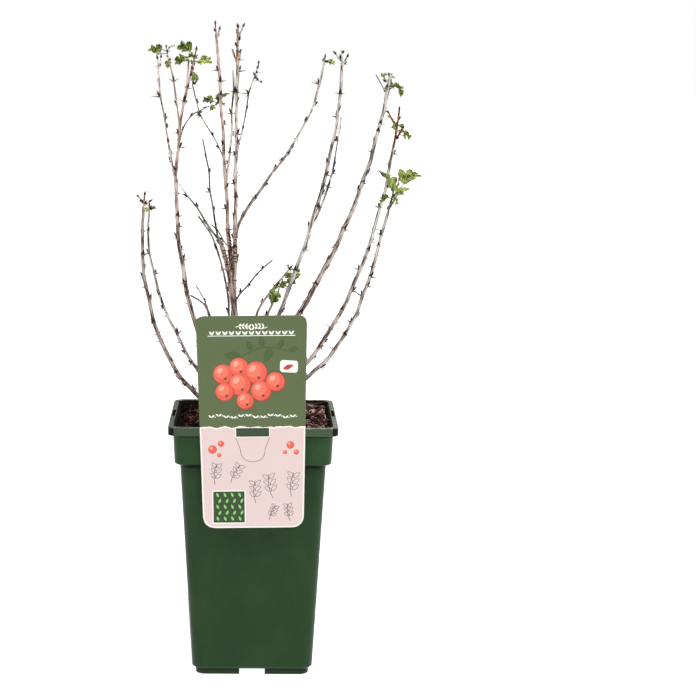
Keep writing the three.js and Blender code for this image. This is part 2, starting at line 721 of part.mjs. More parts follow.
function addPiece(name, geometry, finish) {
  const piece = new THREE.Mesh(geometry, new THREE.MeshStandardMaterial(finishes[finish]));
  piece.name = name;
  bush.add(piece);
}

addPiece('pot', makePot(), 'plastic');
addPiece('soil', makeSoil(groundFoot), 'mulch');
addPiece('hang_card', makeCard(), 'card');
for (const name of Object.keys(limbs)) {
  addPiece(name, makeLimb(name), limbs[name].radius[0] > thinLimb ? 'bark' : 'darkBark');
}
for (const name of Object.keys(tufts)) {
  addPiece(name, makeTuft(name), tufts[name].leaves > 0 ? 'leaf' : 'bark');
}

export default bush;
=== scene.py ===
# Gooseberry bush in early spring, in its tall square pot with a hang card.
# Shapes are worked out in millimetres and stored in metres.

import math
import bpy
from mathutils import Matrix, Quaternion, Vector, noise
from mathutils.geometry import tessellate_polygon


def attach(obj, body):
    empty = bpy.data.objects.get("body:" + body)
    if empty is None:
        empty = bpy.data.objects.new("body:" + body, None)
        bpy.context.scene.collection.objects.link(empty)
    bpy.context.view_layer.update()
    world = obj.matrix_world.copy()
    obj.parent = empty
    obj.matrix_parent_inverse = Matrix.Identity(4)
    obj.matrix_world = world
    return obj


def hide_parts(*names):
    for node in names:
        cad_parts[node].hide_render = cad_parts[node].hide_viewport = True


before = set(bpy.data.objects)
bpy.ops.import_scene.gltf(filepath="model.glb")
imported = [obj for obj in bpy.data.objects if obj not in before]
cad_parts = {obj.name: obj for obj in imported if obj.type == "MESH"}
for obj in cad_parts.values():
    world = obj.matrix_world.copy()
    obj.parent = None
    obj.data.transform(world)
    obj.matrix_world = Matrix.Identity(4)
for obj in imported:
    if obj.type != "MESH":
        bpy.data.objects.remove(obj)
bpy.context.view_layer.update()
mm = 0.001
gap = 0.3                                            # air that the solids keep between them
up = Vector((0, 0, 1))
print("frame loaded")


# Materials

def linear(code):                                    # sRGB hex to linear colour
    parts = [int(code[place:place + 2], 16) / 255 for place in (1, 3, 5)]
    return [c / 12.92 if c <= 0.04045 else ((c + 0.055) / 1.055) ** 2.4 for c in parts] + [1.0]


def addNode(tree, kind, settings=None, links=None, stops=()):
    # one node with its settings and links, and for a colour ramp its places and hex values
    made = tree.nodes.new("ShaderNode" + kind)
    for name, value in (settings or {}).items():
        if isinstance(name, int) or name in made.inputs:
            made.inputs[name].default_value = value
        else:
            setattr(made, name, value)
    for name, source in (links or {}).items():
        tree.links.new(source, made.inputs[name])
    for index, (place, code) in enumerate(stops):
        elements = made.color_ramp.elements
        element = elements[index] if index < 2 else elements.new(place)
        element.position = place
        element.color = linear(code)
    return made


def newMaterial(name, base, roughness, ior, settings=None):
    material = bpy.data.materials.new(name)
    material.use_nodes = True
    tree = material.node_tree
    shader = tree.nodes["Principled BSDF"]
    values = {"Base Color": linear(base), "Roughness": roughness, "IOR": ior}
    for socket, value in {**values, **(settings or {})}.items():
        shader.inputs[socket].default_value = value
    return material, tree, shader


def grainNoise(tree, size, stretch=1.0, detail=3.0, rough=0.55, limbwise=False):
    # size in mm across and longer along Z; limbwise, Z is the way along the limb
    place = (addNode(tree, "Attribute", {"attribute_name": "grain"}).outputs["Vector"] if limbwise
             else addNode(tree, "TexCoord").outputs["Object"])
    scale = 1000.0 / size
    mapped = addNode(tree, "Mapping", {"Scale": (scale, scale, scale / stretch)}, {"Vector": place})
    made = addNode(tree, "TexNoise", {"Scale": 1.0, "Detail": detail, "Roughness": rough},
                   {"Vector": mapped.outputs["Vector"]})
    return made.outputs["Fac"]


def shadedBy(tree, colour, amount, source, stops):   # a colour made darker where source is low
    shade = addNode(tree, "ValToRGB", links={"Fac": source}, stops=stops)
    settings = {"blend_type": "MULTIPLY", "Fac": amount}
    links = {"Color2": shade.outputs["Color"]}
    if isinstance(colour, str):
        settings["Color1"] = linear(colour)
    else:
        links["Color1"] = colour
    return addNode(tree, "MixRGB", settings, links).outputs["Color"]


def wanderingGloss(tree, shader, size, low, high):   # roughness that wanders, size in mm
    gloss = addNode(tree, "MapRange",
                    {"From Min": 0.3, "From Max": 0.7, "To Min": low, "To Max": high},
                    {"Value": grainNoise(tree, size)})
    tree.links.new(gloss.outputs["Result"], shader.inputs["Roughness"])


def layOn(tree, shader, colour, height, depth):      # colour and relief, depth in mm
    if colour is not None:
        tree.links.new(colour, shader.inputs["Base Color"])
    relief = addNode(tree, "Bump", {"Strength": 1.0, "Distance": depth * mm}, {"Height": height})
    tree.links.new(relief.outputs["Normal"], shader.inputs["Normal"])


def polypropylene():
    # Injection-moulded polypropylene: even satin green, a fine spark-eroded grain of 0.5 mm,
    # the faint bloom that handling leaves, grey dust caked on top of the lip and thin on its
    # sides, soil on the feet, and painted shade in the creases under the lip, under the collar
    # and over the feet. The caked dust also paints a highlight along the lip's top edge, and it
    # is laid heavier to the right as painted light.
    material, tree, shader = newMaterial("mouldedPolypropylene", "#203B1D", 0.42, 1.49,
                                         {"Specular IOR Level": 0.15})
    bloom = addNode(tree, "ValToRGB", links={"Fac": grainNoise(tree, 26, stretch=1.6, detail=5)},
                    stops=[(0.3, "#1E3C1C"), (0.55, "#22411E"), (0.78, "#274723")])
    place = addNode(tree, "SeparateXYZ", links={0: addNode(tree, "TexCoord").outputs["Object"]})
    share = addNode(tree, "Math", {"operation": "DIVIDE", 1: pot["height"] * mm},
                    {0: place.outputs["Z"]}).outputs["Value"]
    # grey dust caked on the lip top; the same band paints a highlight along the lip's top edge
    cakedAndHighlight = addNode(tree, "MapRange", {"From Min": pot["cakedAndHighlight"][0], "From Max": pot["cakedAndHighlight"][1]},
                    {"Value": share})
    # painted light: the dust is laid heavier towards +X, so the right of the lip looks more brightly
    # lit
    paintedRightLight = addNode(tree, "MapRange",
                        {"From Min": -pot["rimHalf"] * mm, "From Max": pot["rimHalf"] * mm,
                         "To Min": 0.5}, {"Value": place.outputs["X"]})
    specks = addNode(tree, "MapRange", {"From Min": 0.42, "From Max": 0.58, "To Min": 0.12},
                     {"Value": grainNoise(tree, 1.5, detail=6)})
    film = addNode(tree, "MapRange", {"From Min": pot["film"][0], "From Max": pot["film"][1],
                                      "To Max": pot["filmLevel"]}, {"Value": share})
    dustAndPaintedLight = cakedAndHighlight.outputs["Result"]
    for operation, other in (("MULTIPLY", paintedRightLight), ("MULTIPLY", specks), ("MAXIMUM", film)):
        dustAndPaintedLight = addNode(tree, "Math", {"operation": operation},
                        {0: dustAndPaintedLight, 1: other.outputs["Result"]}).outputs["Value"]
    dustedAndLit = addNode(tree, "MixRGB", {"Color2": linear(pot["dustAndHighlight"])},
                     {"Fac": dustAndPaintedLight, "Color1": bloom.outputs["Color"]})
    # painted shade in the creases over the feet, under the collar and under the lip, and soil on the
    # feet
    soilAndCreaseShade = shadedBy(tree, dustedAndLit.outputs["Color"], 1.0, share, pot["soilAndCreaseShade"])
    wanderingGloss(tree, shader, 9, 0.34, 0.46)
    layOn(tree, shader, soilAndCreaseShade, grainNoise(tree, 0.5, detail=1), 0.012)
    return material


def printedSheet(name, code):
    # Offset-printed polypropylene card of 0.6 mm: flat ink under a thin satin varnish, with
    # the sheet's slow waviness in its gloss.
    material, tree, shader = newMaterial(name, code, 0.38, 1.49, {"Specular IOR Level": 0.25})
    wanderingGloss(tree, shader, 18, 0.34, 0.44)
    layOn(tree, shader, None, grainNoise(tree, 22, detail=1), 0.05)
    return material


def bark(name, pale, middle, dark, width=1.1, relief=0.12):
    # Gooseberry bark: a thin papery skin that splits lengthwise, so pale strips of about a
    # millimetre lie between darker lines, with blotches of a centimetre over them.
    material, tree, shader = newMaterial(name, middle, 0.78, 1.45, {"Specular IOR Level": 0.2})
    strips = grainNoise(tree, width, stretch=10, detail=4, rough=0.6, limbwise=True)
    blotches = grainNoise(tree, 6, stretch=1.8, detail=2, limbwise=True)
    blotches = addNode(tree, "Math", {"operation": "MULTIPLY", 1: 0.3}, {0: blotches})
    both = addNode(tree, "Math", {"operation": "MULTIPLY_ADD", 1: 0.7},
                   {0: strips, 2: blotches.outputs["Value"]})
    colour = addNode(tree, "ValToRGB", links={"Fac": both.outputs["Value"]},
                     stops=[(0.42, dark), (0.47, middle), (0.535, pale)])
    layOn(tree, shader, colour.outputs["Color"], strips, relief)
    return material


def plainPlant(name, code, roughness, size, contrast, relief):
    # Bud scales, spines, stalks and cut wood: one colour with a fine grain in its tone.
    material, tree, shader = newMaterial(name, code, roughness, 1.45, {"Specular IOR Level": 0.2})
    grain = grainNoise(tree, size, stretch=2)
    toned = shadedBy(tree, code, contrast, grain, [(0.3, "#707070"), (0.7, "#FFFFFF")])
    layOn(tree, shader, toned, grain, relief)
    return material


def leafTissue(name, code, roughness, sheen=0.0):
    # Young gooseberry leaf: soft and half matt, a little downy, with a quilted surface
    # between the veins of about 1.2 mm.
    material, tree, shader = newMaterial(name, code, roughness, 1.42,
                                         {"Sheen Weight": sheen, "Specular IOR Level": 0.25,
                                          "Subsurface Weight": 0.05, "Subsurface Scale": 0.002,
                                          "Subsurface Radius": (0.35, 0.6, 0.1)})
    quilt = grainNoise(tree, 1.2, detail=2)
    # painted shade: the leaf is darker in the hollows of its 1.2 mm quilt and, below, in the hollows
    # of folds about 4.5 mm across
    toned = shadedBy(tree, code, 0.8, quilt,
                     [(0.38, "#54583C"), (0.47, "#B8B8A0"), (0.56, "#FFFFFF")])
    toned = shadedBy(tree, toned, 0.85, grainNoise(tree, 4.5, detail=2),
                     [(0.39, "#454D2C"), (0.47, "#C3CAA2"), (0.54, "#FFFFFF")])
    layOn(tree, shader, toned, quilt, 0.2)
    return material


def woodChip(name, code, relief=0.15):
    # Composted bark and peat: dull, fibrous, darker where it is moist.
    material, tree, shader = newMaterial(name, code, 0.86, 1.4, {"Specular IOR Level": 0.12})
    fibres = grainNoise(tree, 0.9, stretch=0.6, detail=4)
    toned = shadedBy(tree, code, 0.75, fibres, [(0.32, "#585050"), (0.66, "#FFFFFF")])
    layOn(tree, shader, toned, fibres, relief)
    return material


barkTones = {
    "lilac": bark("barkGreyLilac", "#D0C8C1", "#91867F", "#403733"),
    "rose": bark("barkRosy", "#D3BEB3", "#A18576", "#4F3A32"),
    "straw": bark("barkStraw", "#BBA995", "#887362", "#503D33"),
    "old": bark("barkOld", "#C0A99D", "#7E6457", "#37241E", width=1.2, relief=0.25),
    "plum": bark("barkPlum", "#C5B4AC", "#7E6960", "#382925"),
    "dusky": bark("barkDusky", "#A99B93", "#6E5F58", "#352A27"),
    "thin": bark("barkThinShoot", "#827C76", "#534C47", "#2C2623", width=0.8, relief=0.06),
    "young": bark("barkYoungRed", "#A4623B", "#7D4425", "#4F2616", width=0.7, relief=0.05),
    "peeled": bark("woodPeeled", "#DDBB9B", "#C69C77", "#6B4630", width=0.9, relief=0.1)
}
nodeBark = plainPlant("budScar", "#4A342B", 0.8, 0.8, 0.6, 0.08)
cutWood = plainPlant("cutWood", "#B7A287", 0.75, 0.5, 0.4, 0.05)
spineWood = plainPlant("spine", "#64524A", 0.55, 0.6, 0.5, 0.02)
spineTip = plainPlant("spineTip", "#3A2C27", 0.5, 0.6, 0.4, 0.01)
budTones = [plainPlant("budBrown", "#36241D", 0.55, 0.6, 0.6, 0.05),
            plainPlant("budRed", "#632C26", 0.5, 0.6, 0.6, 0.05),
            plainPlant("budGreen", "#66722F", 0.55, 0.6, 0.5, 0.05)]
leafTones = [leafTissue("leafFresh", "#B6C768", 0.5),
             leafTissue("leafMid", "#C2D262", 0.5),
             leafTissue("leafDeep", "#6C7E2A", 0.48),
             leafTissue("leafRusty", "#6A5B24", 0.55)]
leafUnder = leafTissue("leafUnderside", "#8B9A42", 0.62, sheen=0.03)
leafVein = plainPlant("leafVein", "#DCE5A6", 0.5, 1.0, 0.2, 0.02)
stalkGreen = plainPlant("leafStalk", "#8A9248", 0.5, 1.0, 0.35, 0.03)
print("materials ready")


# Skins: points in mm, faces, and the material of each face

def newSkin():
    return {"points": [], "faces": [], "kinds": []}


def addFace(skin, face, kind):
    skin["faces"].append(face)
    skin["kinds"].append(kind)


def addRings(skin, rings, kindOf, capKinds=None):    # rings turn left round their way
    first, count = len(skin["points"]), len(rings[0])
    for ring in rings:
        skin["points"].extend(ring)
    for row in range(len(rings) - 1):
        for side in range(count):
            a = first + row * count + side
            b = first + row * count + (side + 1) % count
            kind = kindOf(row, side) if callable(kindOf) else kindOf
            addFace(skin, (a, b, b + count, a + count), kind)
    lowKind, highKind = capKinds or (kindOf, kindOf)
    last = first + (len(rings) - 1) * count
    addFace(skin, tuple(reversed(range(first, first + count))), lowKind)
    addFace(skin, tuple(range(last, last + count)), highKind)


def newMesh(name, skin):
    mesh = bpy.data.meshes.new(name)
    mesh.from_pydata([tuple(point * mm) for point in skin["points"]], [], skin["faces"])
    return mesh


def newObject(name, data):
    made = bpy.data.objects.new(name, data)
    bpy.context.scene.collection.objects.link(made)
    return made


def addPiece(name, skin, materials, nodes=(), smooth=True):
    mesh = newMesh(name, skin)
    for material in materials:
        mesh.materials.append(material)
    mesh.polygons.foreach_set("material_index", skin["kinds"])
    mesh.polygons.foreach_set("use_smooth", [smooth] * len(skin["faces"]))
    if "grain" in skin:                              # place of each point round and along its limb
        layer = mesh.attributes.new("grain", "FLOAT_VECTOR", "POINT")
        layer.data.foreach_set("vector", [value * mm for place in skin["grain"] for value in place])
    mesh.update()
    piece = newObject(name, mesh)
    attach(piece, "root")
    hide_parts(*nodes)


def seeded(seed):                                    # a repeatable row of numbers from 0 to 1
    state = [seed % 4294967296]

    def following():
        state[0] = (state[0] * 1664525 + 1013904223) % 4294967296
        return state[0] / 4294967296
    return following


def around(axis, turn, opening):                     # direction at an opening from an axis
    u = (Vector((1, 0, 0)) - axis * axis.x).normalized()
    side = u * math.cos(turn) + axis.cross(u) * math.sin(turn)
    return side * math.sin(opening) + axis * math.cos(opening)


def along(points, share):
    place = share * (len(points) - 1)
    index = min(int(place), len(points) - 2)
    return points[index].lerp(points[index + 1], place - index)


def smoothWay(points, spacing):                      # rounded way through points, with shares
    padded = [points[0] * 2 - points[1]] + points + [points[-1] * 2 - points[-2]]
    way = []
    for index in range(len(points) - 1):
        a, b, c, d = padded[index:index + 4]
        steps = max(2, round((c - b).length / spacing))
        for step in range(steps + (index == len(points) - 2)):
            t = step / steps
            point = (b * 2 + (c - a) * t + (a * 2 - b * 5 + c * 4 - d) * t * t
                     + (b * 3 - a - c * 3 + d) * t * t * t) * 0.5
            way.append((point, (index + t) / (len(points) - 1)))
    return way


# Pot

pot = {
    "height": 200, "rimHalf": 65, "lipHeight": 6.6, "lipInnerHalf": 60.9, "ledgeDepth": 1.7,
    "collarTopHalf": 61.2, "collarBottomHalf": 60.1, "collarBottom": 170,
    "bodyTop": 168, "bodyTopHalf": 56, "bodyBottomHalf": 47,
    "footHalf": 44.1, "footHeight": 5.4, "footWidth": 11, "footChannel": 20,
    "padRadius": 5, "floor": 2, "wall": 1.6, "cornerRadius": 8.5, "cornerSteps": 10,
    "innerInset": 1.5, "footInset": 2, "edge": 0.7, "heel": 1.4,
    "drainRadius": 4, "drainPlace": 24, "slotLength": 27, "slotWidth": 2.2, "slotHalf": 62.7,
    "softEdge": 0.45, "softSteps": 2, "softAngle": 40, "sharpAngle": 32, "peatFilm": "#251F17",
    # the dust colour also serves the painted highlight on the lip's top edge and the painted light on
    # the lip's right
    "dustAndHighlight": "#A9A8A2", "cakedAndHighlight": (0.9955, 0.9985), "film": (0.9665, 0.9675), "filmLevel": 0.08,
    # darker by height: brown soil on the feet, and painted shade in the creases over the feet, under
    # the collar and under the lip
    "soilAndCreaseShade": [(0.0, "#9C8672"), (0.012, "#D8CBBB"), (0.021, "#A2968A"), (0.027, "#4A453F"),
               (0.031, "#E8E8E8"), (0.79, "#E8E8E8"), (0.8335, "#CFCFCF"), (0.8365, "#2A2A26"),
               (0.849, "#2A2A26"), (0.853, "#FFFFFF"), (0.957, "#FFFFFF"), (0.9615, "#34342F"),
               (0.967, "#34342F"), (0.968, "#FFFFFF"), (1.0, "#FFFFFF")]
}


def roundedSquare(half, radius, z):
    ring = []
    for corner in range(4):
        middle = math.radians(45 + 90 * corner)
        centre = Vector((math.copysign(half - radius, math.cos(middle)),
                         math.copysign(half - radius, math.sin(middle)), z))
        for step in range(pot["cornerSteps"] + 1):
            angle = middle + math.radians(90 * (step / pot["cornerSteps"] - 0.5))
            ring.append(centre + Vector((math.cos(angle), math.sin(angle), 0)) * radius)
    return ring


def solidObject(name, rings):
    skin = newSkin()
    addRings(skin, rings, 0)
    return newObject(name, newMesh(name, skin))


def squareStack(name, rows):
    return solidObject(name, [roundedSquare(half, pot["cornerRadius"] - inset, z)
                              for z, half, inset in rows])


def block(name, low, high):
    return solidObject(name, [[Vector((low[0], low[1], z)), Vector((high[0], low[1], z)),
                               Vector((high[0], high[1], z)), Vector((low[0], high[1], z))]
                              for z in (low[2], high[2])])


def post(name, radius, low, high, x, y, sides=32):
    way = [around(up, 2 * math.pi * side / sides, math.pi / 2) * radius for side in range(sides)]
    return solidObject(name, [[Vector((x, y, z)) + place for place in way] for z in (low, high)])


def applyModifiers(body):
    graph = bpy.context.evaluated_depsgraph_get()
    body.data = bpy.data.meshes.new_from_object(body.evaluated_get(graph))
    body.modifiers.clear()


def joinShapes(body, others, operation):             # cuts or adds solids, then drops them
    for other in others:
        tool = body.modifiers.new("join", "BOOLEAN")
        tool.operation = operation
        tool.solver = "EXACT"
        tool.object = other
    applyModifiers(body)
    for other in others:
        bpy.data.objects.remove(other)


def makePot():
    foot, edge, wall, height = pot["footHeight"], pot["edge"], pot["wall"], pot["height"]
    inset, inner = pot["footInset"], pot["innerInset"]
    lipBottom = height - pot["lipHeight"]
    shell = squareStack("pot_shell", [
        (0, pot["footHalf"] - edge * 2, inset), (edge, pot["footHalf"] - edge * 0.5, inset),
        (edge * 2.4, pot["footHalf"], inset),
        (foot, pot["footHalf"], inset), (foot, pot["bodyBottomHalf"] - pot["heel"], 0),
        (foot + pot["heel"], pot["bodyBottomHalf"], 0), (pot["bodyTop"], pot["bodyTopHalf"], 0),
        (pot["collarBottom"], pot["collarBottomHalf"] - edge, 0),
        (pot["collarBottom"] + edge, pot["collarBottomHalf"], 0),
        (lipBottom, pot["collarTopHalf"], 0), (lipBottom, pot["rimHalf"], 0),
        (height - edge, pot["rimHalf"], 0), (height, pot["rimHalf"] - edge, 0)])
    hollow = squareStack("pot_hollow", [
        (foot + pot["floor"], pot["bodyBottomHalf"] - wall, inner),
        (pot["bodyTop"], pot["bodyTopHalf"] - wall, inner),
        (pot["collarBottom"] + wall, pot["collarBottomHalf"] - wall, inner),
        (height - pot["ledgeDepth"], pot["collarTopHalf"] - wall, inner),
        (height - pot["ledgeDepth"], pot["lipInnerHalf"], inner),
        (height - 0.5, pot["lipInnerHalf"], inner),
        (height + 0.5, pot["lipInnerHalf"] + 1, inner)])
    far, channel = pot["rimHalf"], pot["footChannel"] / 2
    recess = pot["footHalf"] - pot["footWidth"]
    cuts = [hollow,
            block("cut_x", (-far, -channel, -1), (far, channel, foot)),
            block("cut_y", (-channel, -far, -1), (channel, far, foot)),
            block("cut_middle", (-recess, -recess, -1), (recess, recess, foot))]
    near, out = (pot["slotHalf"] + side * pot["slotWidth"] / 2 for side in (-1, 1))
    reach = pot["slotLength"] / 2
    for low, high in ((-out, -near), (near, out)):
        cuts.append(block("cut_slot", (low, -reach, lipBottom - 1), (high, reach, height + 1)))
        cuts.append(block("cut_slot", (-reach, low, lipBottom - 1), (reach, high, height + 1)))
    for x in (-1, 1):
        for y in (-1, 1):
            cuts.append(post("cut_drain", pot["drainRadius"], -1, foot + pot["floor"] + 1,
                             x * pot["drainPlace"], y * pot["drainPlace"]))
    joinShapes(shell, cuts, "DIFFERENCE")
    joinShapes(shell, [post("pad", pot["padRadius"], 0, foot + 1, 0, 0)], "UNION")
    soften = shell.modifiers.new("soften", "BEVEL")
    soften.width = pot["softEdge"] * mm
    soften.segments = pot["softSteps"]
    soften.limit_method = "ANGLE"
    soften.angle_limit = math.radians(pot["softAngle"])
    applyModifiers(shell)
    shell.name = "moulded_pot"
    shell.data.materials.clear()
    shell.data.materials.append(polypropylene())
    shell.data.materials.append(woodChip("peatFilm", pot["peatFilm"], 0.1))
    for face in shell.data.polygons:                 # a film of peat clings to the inner walls
        x, y, z = face.center / mm
        out = max(abs(x), abs(y))
        inward = x * face.normal.x + y * face.normal.y < 0 or face.normal.z > 0.9
        below = z < height - pot["softEdge"]
        inside = out < pot["lipInnerHalf"] + 0.2 and foot + 1 < z and below
        slotted = (abs(out - pot["slotHalf"]) < pot["slotWidth"] * 0.55
                   and lipBottom + 0.2 < z and below)
        face.material_index = 1 if inward and inside or slotted else 0
    shell.data.polygons.foreach_set("use_smooth", [True] * len(shell.data.polygons))
    shell.data.set_sharp_from_angle(angle=math.radians(pot["sharpAngle"]))
    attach(shell, "root")
    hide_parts("pot")


makePot()
print("pot moulded")


# Mulch

mulch = {
    "chips": 3800, "half": 58.4, "bottom": 189.6, "pile": 7.0, "seed": 5, "slope": 32,
    "length": (3, 16), "width": (0.5, 1.7), "thickness": (0.25, 0.8), "stemRoom": 5.5,
    "flakes": 0.16, "flakeLength": 0.5, "flakeWidth": 2.6, "top": 199.0, "paleSide": 0.5,
    "darkSide": 0.12, "bigSide": 0.45, "mound": 1.6, "moundSpan": 24, "rise": (1.6, 1.2),
    "riseSpan": 60, "bend": 0.3, "roll": 50,
    "profile": ((-0.5, 0.3), (-0.2, 1), (0.2, 0.85), (0.5, 0.35)),    # place along, fullness
    "kinds": [("peatDark", "#1A100B", 0.34), ("barkBrown", "#443529", 0.2),
              ("barkRedBrown", "#5F2D27", 0.24), ("barkRosyChip", "#A8746A", 0.13),
              ("woodPaleChip", "#E2C4B8", 0.09)]
}
groundFoot = Vector((-12, 0, 191 + gap))


def makeMulch():
    following = seeded(mulch["seed"])

    def draw(key):
        least, most = mulch[key]
        return least + (most - least) * following()

    skin = newSkin()
    made = 0
    while made < mulch["chips"]:
        x, y = (mulch["half"] * (2 * following() - 1) for _ in range(2))
        pick, rise, flake = following(), following() ** 1.5, following() < mulch["flakes"]
        length, width, thick = draw("length"), draw("width"), draw("thickness")
        right = max(0, x / mulch["half"])            # more pale and broad chips on this side
        dark = mulch["darkSide"] * min(0, x / mulch["half"])
        pick += mulch["paleSide"] * right * following() + dark
        width *= 1 + mulch["bigSide"] * right
        if flake:
            length, width = length * mulch["flakeLength"], width * mulch["flakeWidth"]
        turn = 2 * math.pi * following()
        slope = math.radians(mulch["slope"] * (2 * following() - 1) * (0.5 + following()))
        bend = (following() - 0.5) * mulch["bend"]
        roll = math.radians(mulch["roll"]) * (following() - 0.5)
        forward = Vector((math.cos(turn) * math.cos(slope), math.sin(turn) * math.cos(slope),
                          math.sin(slope)))
        flat = Vector((x, y))
        ends = [flat + forward.xy * length * side / 2 for side in (-1, 1)]
        away = min((place - groundFoot.xy).length for place in (flat, *ends))
        if max(abs(v) for place in ends for v in place) > mulch["half"] or away < mulch["stemRoom"]:
            continue
        mound = (mulch["mound"] * noise.noise(Vector((x, y, 0)) / mulch["moundSpan"])
                 + mulch["rise"][0] * x / mulch["riseSpan"]
                 + mulch["rise"][1] * y / mulch["riseSpan"])
        height = mulch["bottom"] + mulch["pile"] * rise + mound
        height = min(height, mulch["top"] - abs(forward.z) * length / 2)
        centre = Vector((x, y, height))
        level = Vector((-math.sin(turn), math.cos(turn), 0))
        level.rotate(Quaternion(forward, roll))
        normal = forward.cross(level)
        kind, total = 0, mulch["kinds"][0][2]
        while pick > total and kind < len(mulch["kinds"]) - 1:
            kind += 1
            total += mulch["kinds"][kind][2]
        rings = []
        for place, fullness in mulch["profile"]:
            middle = centre + (forward * place + normal * bend * (place * place * 2 - 0.2)) * length
            halfWidth = width / 2 * fullness * (0.8 + 0.4 * following())
            halfThick = thick / 2 * (0.6 + 0.4 * fullness)
            rings.append([middle + level * halfWidth * a + normal * halfThick * b
                          for a, b in ((1, 0.3), (0.2, 1), (-1, -0.2), (-0.1, -1))])
        addRings(skin, rings, kind)
        made += 1
    addPiece("bark_chips", skin, [woodChip(name, code) for name, code, _ in mulch["kinds"]],
             smooth=False)
    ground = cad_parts["soil"]                  # the solid under the chips keeps its shape
    ground.data.materials.clear()
    ground.data.materials.append(woodChip("peatSoil", "#1C120F", 0.6))


makeMulch()
print("mulch spread")


# Hang card

card = {
    "topWidth": 84, "bottomWidth": 76.4, "top": 286, "bottom": 123, "thickness": 0.6,
    "tilt": -0.9, "topCorner": 7, "bottomCorner": 10, "windowWidth": 25,
    "windowBottom": 193.6, "tongueWidth": 22, "tongueBottom": 186, "middle": -0.4,
    "cornerSteps": 10, "border": 1.1, "ink": 0.012, "torn": 200.6, "tornDepth": 0.9,
    "tornSteps": 70, "cutDepth": 9.3, "cutTop": 183.5, "cutHalf": 0.74,
    "inks": {"paper": "#EFE9E3", "field": "#5A6744", "blush": "#DAC5C2", "coral": "#E3604E",
             "coralMid": "#EC7660", "coralPale": "#F4A28F", "shade": "#B8423A",
             "line": "#5F5256", "panel": "#37492F", "fresh": "#84C96E", "white": "#F1F1EA",
             "leafInk": "#485C37"},
    "row": (13, -30, 5, 271.5), "rowLine": (33, 270.8), "garland": (12, -31, 5.6, 208.6),
    "branches": ((-12, 277.3, 10, 0), (12, 277.3, 10, 180)),      # u, v, length, turn
    "stem": ((27, 259), (-9, 254), -0.14),
    "stemLeaves": ((0.02, 15, 9), (0.2, 62, 9), (0.36, 245, 13), (0.5, 100, 9),
                   (0.75, 118, 9), (0.97, 175, 14)),              # share, turn, length
    "bunch": ((-22, 242, 7.4), (-10, 247, 7.2), (3, 243, 8.4), (-9.5, 234, 8.4),
              (6.5, 229, 7.6), (-21, 228.5, 6.8), (-5.5, 221.5, 6.4), (17.5, 236, 7.2)),
    "tag": ((21, 243, 2.5), (34.5, 242.2, 2.5), (34.9, 251.4, 2.5), (21.4, 252.2, 2.5)),
    "tagLeaf": (23.6, 245.2, 8.6, 3.6, 22),
    "panel": ((-30.4, 127.2), (-6.6, 151.4)), "panelRows": 5, "panelColumns": 4,
    "sprigs": ((15, 146, 15, 100), (29, 147, 15, 84), (-29, 157, 13, 84), (-17, 158, 13, 62),
               (2, 142, 14, 92), (12, 129, 10, 66), (28, 128, 11, 98)),
    "berries": ((-30.5, 184, 3.3), (-24, 188.4, 2.4), (28.5, 187, 2.9), (33, 181.5, 2.0),
                (24.5, 181.5, 1.6), (-25.5, 179.5, 1.6))          # u, v, radius
}
cardBack = -(pot["rimHalf"] + gap)
inkOrder = list(card["inks"])
cardInks = [printedSheet("card" + key[0].upper() + key[1:], code)
            for key, code in card["inks"].items()]


def cardPlace(u, v, y):                              # card's own place, tilted as it hangs
    turn = math.radians(card["tilt"])
    v -= card["windowBottom"]
    return Vector((u * math.cos(turn) + v * math.sin(turn) + card["middle"], y,
                   v * math.cos(turn) - u * math.sin(turn) + card["windowBottom"]))


def addPlate(skin, outline, holes, front, back, kind):
    loops = [outline] + holes
    first = len(skin["points"])
    flat = [place for loop in loops for place in loop]
    for y in (front, back):
        skin["points"].extend(cardPlace(u, v, y) for u, v in flat)
    count = len(flat)
    triangles = tessellate_polygon([[Vector((u, v, 0)) for u, v in loop] for loop in loops])
    for a, b, c in triangles:
        p, q, r = (Vector(flat[index]) for index in (a, b, c))
        if (q - p).cross(r - p) < 0:
            b, c = c, b
        addFace(skin, (first + a, first + b, first + c), kind)
        addFace(skin, (first + count + a, first + count + c, first + count + b), kind)
    base = first
    for loop in loops:
        area = sum(p[0] * q[1] - q[0] * p[1] for p, q in zip(loop, loop[1:] + loop[:1]))
        outer = loop is outline
        for index in range(len(loop)):
            a, b = base + index, base + (index + 1) % len(loop)
            face = (a, a + count, b + count, b)
            if (area > 0) != outer:
                face = tuple(reversed(face))
            addFace(skin, face, kind)
        base += len(loop)


def cornered(corners, steps):                        # outline with rounded corners
    outline = []
    for index, (u, v, radius) in enumerate(corners):
        corner = Vector((u, v))
        before = (Vector(corners[index - 1][:2]) - corner).normalized() * radius
        after = (Vector(corners[(index + 1) % len(corners)][:2]) - corner).normalized() * radius
        for step in range(steps + 1):
            t = step / steps
            place = ((corner + before) * (1 - t) ** 2 + corner * 2 * t * (1 - t)
                     + (corner + after) * t * t)
            outline.append((place.x, place.y))
    return outline


def cardSide(v, inset=0.0):                          # half width of the card at a height
    share = (v - card["bottom"]) / (card["top"] - card["bottom"])
    return (card["bottomWidth"] * (1 - share) + card["topWidth"] * share) / 2 - inset


def tornEdge(low, high, left, right):                # wavy torn line, from left to right
    steps = card["tornSteps"]
    line = []
    for step in range(steps + 1):
        u = left + (right - left) * step / steps
        wave = (noise.noise(Vector((u / 6, 3.1, 0))) * 1.6
                + noise.noise(Vector((u / 1.7, 9, 0))) * 0.7)
        line.append((u, low + card["tornDepth"] * wave + high))
    return line


def turned(u, v, a, b, lean):                        # a place a along and b across a lean
    return (u + a * math.cos(lean) - b * math.sin(lean),
            v + a * math.sin(lean) + b * math.cos(lean))


